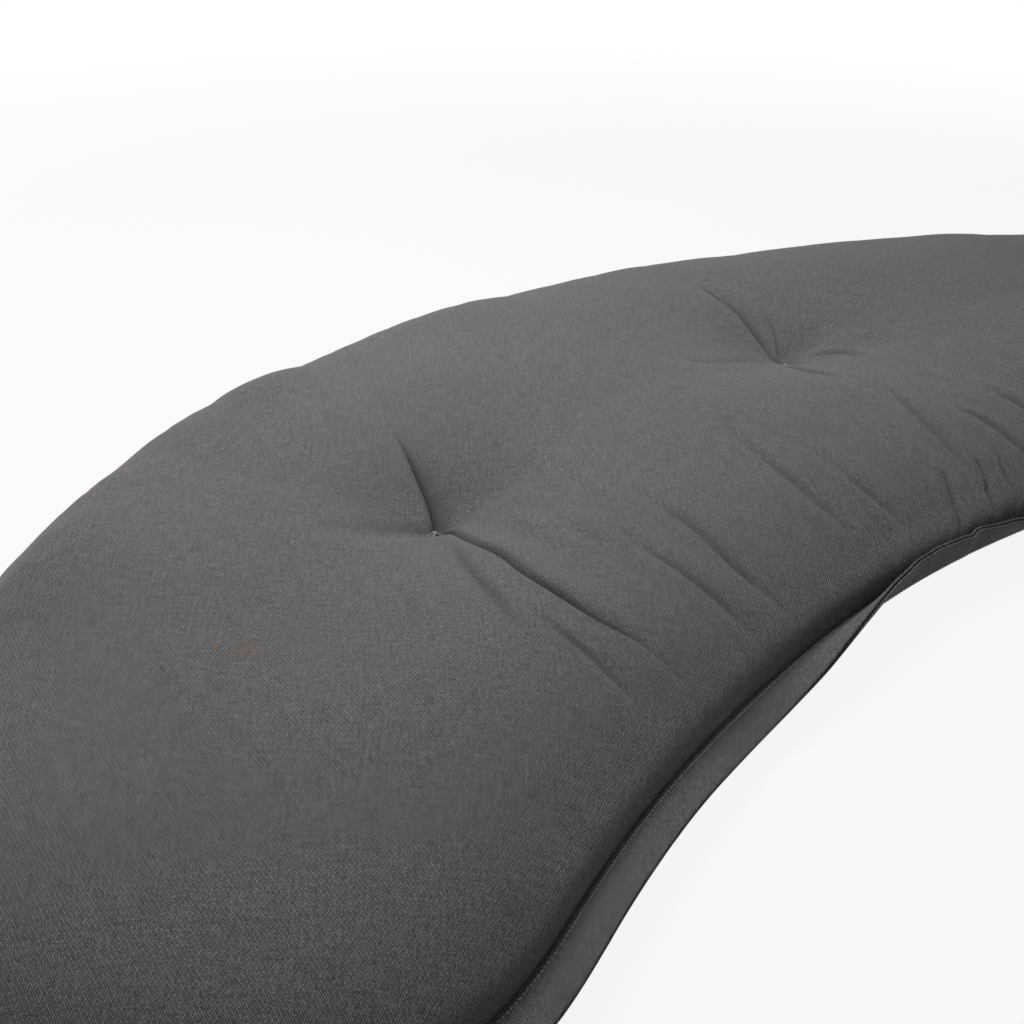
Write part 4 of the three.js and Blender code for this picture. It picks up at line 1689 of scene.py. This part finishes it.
@dataclass(frozen=True)
class MelangeCloth:
    """Plain-woven cloth of two-tone yarn: fine warp with slubs, coarser weft, with painted shade in the
    hollows of its creases.
    """

    name: str
    dark: tuple[float, float, float, float] = display(0.18, 0.168, 0.17)
    light: tuple[float, float, float, float] = display(0.66, 0.648, 0.643)
    warp_pitch: float = 0.5 * MM
    weft_pitch: float = 0.95 * MM
    warp_deg: float = 57.0
    relief: float = 0.06 * MM
    tone: float = 0.19
    contrast: float = 0.43
    pairing: float = 0.12
    tone_range: tuple[float, float] = (-0.25, 1.25)
    # Painted shade in the creases: how far the colour goes towards the dark yarn's, over these crease depths
    # in millimetres.
    shade: float = 0.5
    shaded_depths: tuple[float, float] = (0.2, 5.0)
    calm: float = 0.75
    calmed_turns: tuple[float, float] = (0.02, 0.2)
    slub: Grain = Grain(60, 700, 0.35, 2.0, 0.6)
    weft: Grain = Grain(600, 90, 0.4, 2.0, 0.6)
    fleck: Grain = Grain(1300, 1900, 1.1)
    knot: Grain = Grain(330, 620, 0.45)
    pale_fleck: float = 0.5
    pale_range: tuple[float, float] = (0.58, 0.78)
    cloud: float = 0.1
    specks: tuple[Speck, ...] = ()

    def lattice(self, finish: Finish, place: bpy.types.NodeSocket) -> Number:
        """Which yarn lies on top: 1 where a light warp yarn does, -1 where a dark weft yarn does.

        Args:
            finish: The material.
            place: Place on the cloth with x along the warp and y across it, in metres.

        Returns:
            The yarns' part of the tone.
        """
        parts = finish.node("ShaderNodeSeparateXYZ", sockets={0: place})
        along = Number(finish, parts.outputs[0]) / self.weft_pitch
        aside = Number(finish, parts.outputs[1]) / self.warp_pitch
        pairs = (along / 2).wave() * (aside / 2).wave()
        return along.wave() * aside.wave() * self.contrast + pairs * self.pairing

    def build(self, plan: SeamPlan) -> bpy.types.Material:
        """Makes the material.

        Args:
            plan: The seam's plan, for the places of the specks.

        Returns:
            The material.
        """
        finish = Finish(self.name)
        cloth = finish.node("ShaderNodeUVMap", {"uv_map": "cloth"}).outputs[0]
        turned = finish.stretched(cloth, (1, 1, 1), -self.warp_deg)
        yarn = self.lattice(finish, turned)
        crease = finish.number("ShaderNodeAttribute", "Fac", {"attribute_name": TURNED_AWAY})
        calm = 1 - crease.between(*self.calmed_turns) * self.calm
        yarn = yarn * calm
        grains = (self.slub, self.weft, self.fleck, self.knot)
        slub, weft, fleck, knot = (grain.noise(finish, turned) for grain in grains)
        cloud = finish.noise(cloth, 9, 2)
        threads = (slub - 0.5) * self.slub.strength + (weft - 0.5) * self.weft.strength
        threads = threads + (fleck - 0.5) * self.fleck.strength + (knot - 0.5) * self.knot.strength
        tone = threads * calm
        tone = tone + fleck.between(*self.pale_range) * self.pale_fleck
        tone = tone + (cloud - 0.5) * self.cloud + yarn + self.tone
        colour = finish.blend(tone.between(*self.tone_range), self.dark, self.light)
        # Painted shade: the colour goes part of the way to the dark yarn's in the hollows of the narrow
        # creases, by their depth.
        painted_shade_depth = finish.number("ShaderNodeAttribute", "Fac", {"attribute_name": PAINTED_SHADE_DEPTH})
        colour = finish.blend(painted_shade_depth.between(*self.shaded_depths) * self.shade, colour, self.dark)
        colour = self.add_specks(finish, plan, colour)
        height = yarn * 0.6 + slub * 0.2
        bump = finish.node("ShaderNodeBump", sockets={
            "Strength": 1.0, "Distance": self.relief, "Height": height})
        rough = 0.86 + (fleck - 0.5) * 0.12
        shader = finish.node("ShaderNodeBsdfPrincipled", sockets={
            "Base Color": colour,
            "Roughness": rough,
            "Normal": bump.outputs[0],
            "Specular IOR Level": 0.25,
            "Sheen Weight": 0.12,
            "Sheen Roughness": 0.5,
            "Sheen Tint": (0.9, 0.88, 0.86, 1.0),
        })
        return finish.close(shader)

    def add_specks(self, finish: Finish, plan: SeamPlan,
                   colour: bpy.types.NodeSocket) -> bpy.types.NodeSocket:
        """Lays the specks over the cloth's colour.

        Args:
            finish: The material.
            plan: The seam's plan.
            colour: The cloth's colour.

        Returns:
            The colour with the specks.
        """
        if not self.specks:
            return colour
        body = finish.node("ShaderNodeTexCoord").outputs["Object"]
        flat = finish.node("ShaderNodeVectorMath", {"operation": "MULTIPLY"}, {0: body, 1: (1, 1, 0)})
        ragged = finish.noise(body, 420, 2)
        for speck in self.specks:
            x, y = plan.point(speck.deg, speck.across)
            away = finish.number("ShaderNodeVectorMath", "Value", {"operation": "DISTANCE"},
                                 {0: flat.outputs[0], 1: (float(x), float(y), 0)})
            share = away / speck.radius + (ragged - 0.5) * 0.9
            mask = (1 - share.between(0.35, 1.25)) * speck.strength
            colour = finish.blend(mask, colour, speck.colour)
        return colour


@dataclass(frozen=True)
class Thread:
    """Twisted sewing thread, paler than the cloth."""

    name: str = "sewing_thread"
    dark: tuple[float, float, float, float] = display(0.5, 0.49, 0.48)
    light: tuple[float, float, float, float] = display(0.72, 0.71, 0.7)
    twist: float = 1500.0

    def build(self) -> bpy.types.Material:
        """Makes the material.

        Returns:
            The material.
        """
        finish = Finish(self.name)
        body = finish.node("ShaderNodeTexCoord").outputs["Object"]
        strand = finish.noise(finish.stretched(body, (self.twist, self.twist, self.twist), 30), 1, 2)
        colour = finish.blend(strand.between(0.3, 0.7), self.dark, self.light)
        bump = finish.node("ShaderNodeBump", sockets={
            "Strength": 0.6, "Distance": 0.1 * MM, "Height": strand})
        shader = finish.node("ShaderNodeBsdfPrincipled", sockets={
            "Base Color": colour,
            "Roughness": 0.62 + (strand - 0.5) * 0.2,
            "Normal": bump.outputs[0],
            "Specular IOR Level": 0.35,
        })
        return finish.close(shader)


@dataclass(frozen=True)
class PaleFloor:
    """Plain pale floor, lifted towards white where the camera looks at it."""

    name: str = "pale_floor"
    tint: tuple[float, float, float, float] = display(0.8, 0.8, 0.8)
    lift: float = 0.9
    clear_from: float = 0.75
    clear_to: float = 1.6

    def build(self) -> bpy.types.Material:
        """Makes the material.

        Returns:
            The material.
        """
        finish = Finish(self.name)
        body = finish.node("ShaderNodeTexCoord").outputs["Object"]
        grain = finish.noise(body, 30, 2)
        base = finish.node("ShaderNodeBsdfPrincipled", sockets={
            "Base Color": self.tint,
            "Roughness": 0.9 + (grain - 0.5) * 0.05,
            "Specular IOR Level": 0.0,
        })
        white = finish.node("ShaderNodeEmission", sockets={"Color": (1, 1, 1, 1), "Strength": 1.0})
        rays = finish.node("ShaderNodeLightPath")
        seen = Number(finish, rays.outputs["Is Camera Ray"])
        seen = seen + Number(finish, rays.outputs["Is Glossy Ray"])
        away = finish.number("ShaderNodeVectorMath", "Value", {"operation": "LENGTH"}, {0: body})
        clear = away.between(self.clear_from, self.clear_to)
        seen = seen * (self.lift + clear * (1 - self.lift))
        both = finish.node("ShaderNodeMixShader", sockets={0: seen, 1: base.outputs[0], 2: white.outputs[0]})
        return finish.close(both)


# ---------------------------------------------------------------- studio


@dataclass(frozen=True)
class Lamp:
    """A soft square lamp, placed from the cushion's middle along the camera's own directions."""

    name: str
    right: float
    ahead: float
    up: float
    size: float
    power: float


@dataclass
class Studio:
    """Floor, plain world, soft lamps and the camera."""

    middle: Vector
    plan_centre: Vector
    camera_offset: tuple[float, float, float] = (-0.8474, 0.4445, 0.4516)
    heading_deg: float = 37.54
    down_deg: float = 25.4
    roll_deg: float = 2.107
    lens: float = 59.77
    floor_half: float = 9.0
    ambient: float = 0.12
    lamps: tuple[Lamp, ...] = (
        Lamp("key", right=-0.53, ahead=0.13, up=1.0, size=0.8, power=11.5),
    )

    def build_camera(self) -> None:
        """Sets up the scene's camera."""
        data = bpy.data.cameras.new("camera")
        data.lens = self.lens
        data.clip_start = 0.01
        data.clip_end = 60
        camera = link_object("camera", data)
        turn = (Matrix.Rotation(-math.radians(self.heading_deg), 4, "Z")
                @ Matrix.Rotation(math.radians(90 - self.down_deg), 4, "X")
                @ Matrix.Rotation(math.radians(self.roll_deg), 4, "Z"))
        camera.matrix_world = Matrix.Translation(Vector(self.camera_offset) + self.plan_centre) @ turn
        bpy.context.scene.camera = camera

    def build_floor(self) -> None:
        """Lays the floor."""
        half = self.floor_half
        corners = [(-half, -half, 0), (half, -half, 0), (half, half, 0), (-half, half, 0)]
        mesh = bpy.data.meshes.new("floor")
        mesh.from_pydata(corners, [], [(0, 1, 2, 3)])
        mesh.materials.append(PaleFloor().build())
        link_object("floor", mesh)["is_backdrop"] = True

    def build_world(self) -> None:
        """Lights the scene from all round, white to the camera."""
        world = bpy.data.worlds.new("plain_world")
        world.use_nodes = True
        tree = world.node_tree
        tree.nodes.clear()
        rays = add_node(tree, "ShaderNodeLightPath").outputs
        seen = rays["Is Camera Ray"]
        for name in ("Is Glossy Ray", "Is Transmission Ray"):
            higher = add_node(tree, "ShaderNodeMath", {"operation": "MAXIMUM"}, {0: seen, 1: rays[name]})
            seen = higher.outputs[0]
        dim = add_node(tree, "ShaderNodeBackground",
                       sockets={"Color": (0.98, 0.985, 1.0, 1), "Strength": self.ambient})
        white = add_node(tree, "ShaderNodeBackground", sockets={"Color": (1, 1, 1, 1)})
        mix = add_node(tree, "ShaderNodeMixShader",
                       sockets={0: seen, 1: dim.outputs[0], 2: white.outputs[0]})
        add_node(tree, "ShaderNodeOutputWorld", sockets={"Surface": mix.outputs[0]})
        bpy.context.scene.world = world

    def build_lamps(self) -> None:
        """Hangs the lamps, each facing straight down."""
        heading = math.radians(self.heading_deg)
        ahead = Vector((math.sin(heading), math.cos(heading), 0))
        right = Vector((math.cos(heading), -math.sin(heading), 0))
        for lamp in self.lamps:
            data = bpy.data.lights.new(lamp.name, "AREA")
            data.size = lamp.size
            data.energy = lamp.power
            thing = link_object(lamp.name, data)
            thing.location = self.middle + right * lamp.right + ahead * lamp.ahead + Vector((0, 0, lamp.up))
            thing.visible_camera = False

    def build(self) -> None:
        """Sets up the whole studio."""
        self.build_camera()
        self.build_floor()
        self.build_world()
        self.build_lamps()
        bpy.context.scene.view_settings.view_transform = "Standard"


# ---------------------------------------------------------------- the whole cushion


class Slot(Enum):
    """The record's material slots, which name the cloths too."""

    COVER = "cover_cloth"
    FLANGE = "flange_cloth"


def seat_piece(piece: bpy.types.Object, slot: Slot, *nodes: str) -> None:
    """Joins a finished piece to the frame.

    Args:
        piece: The piece.
        slot: The record's slot for its finish; not used.
        nodes: The frame's nodes that it stands for.
    """
    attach(piece, BODY)
    if nodes:
        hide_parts(*nodes)
    LOG.info("%s: %d faces", piece.name, len(piece.data.polygons))


def main() -> None:
    """Builds the cushion round the frame and sets up its studio."""
    logging.basicConfig(level=logging.INFO, format="%(message)s")
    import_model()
    solid_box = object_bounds()
    low, high = solid_box
    middle = (low + high) / 2
    plan = SeamPlan.on_frame()
    Studio(Vector((middle.x, middle.y, 0)), Vector((*plan.centre, 0))).build()

    ochre = display(0.47, 0.33, 0.13)
    orange = display(0.62, 0.36, 0.16)
    soot = display(0.2, 0.19, 0.19)
    marks = (
        Speck(27.2, 0.06, 5.5 * MM, ochre, 0.24),
        Speck(27.4, 0.14, 1.2 * MM, orange, 0.4),
        Speck(3.6, 0.3, 1.5 * MM, soot, 0.8),
        Speck(-0.7, 0.41, 1.5 * MM, soot, 0.7),
    )
    cover_cloth = MelangeCloth(Slot.COVER.value, specks=marks).build(plan)
    # Painted shade: the flange's cloth is the cover's cloth with a darker tone, for the shade that the pad
    # casts on it.
    flange_cloth = MelangeCloth(Slot.FLANGE.value, tone=0.16).build(plan)
    thread = Thread().build()

    relief = Relief(plan)
    swelling = Filling(plan, relief).swell()
    cushion = CushionPad(plan, relief, Stations(plan, *PAD_STATIONS), swelling)
    pad = cushion.build()
    pad.data.materials.append(cover_cloth)
    seat_piece(pad, Slot.COVER, "cushion_pad")

    edge_stations = Stations(plan, *EDGE_STATIONS, gather=0.0)
    edge_cushion = CushionPad(plan, relief, edge_stations, swelling)
    flange = EdgeFlange(edge_stations, edge_cushion.seam_places())
    cloth = flange.build()
    cloth.data.materials.append(flange_cloth)
    seat_piece(cloth, Slot.FLANGE, "edge_flange")

    stitches = Topstitching(flange).build(thread)
    seat_piece(stitches, Slot.FLANGE)
    ties = TuftTies(cushion).build(thread)
    seat_piece(ties, Slot.COVER)


if __name__ == "__main__":
    main()
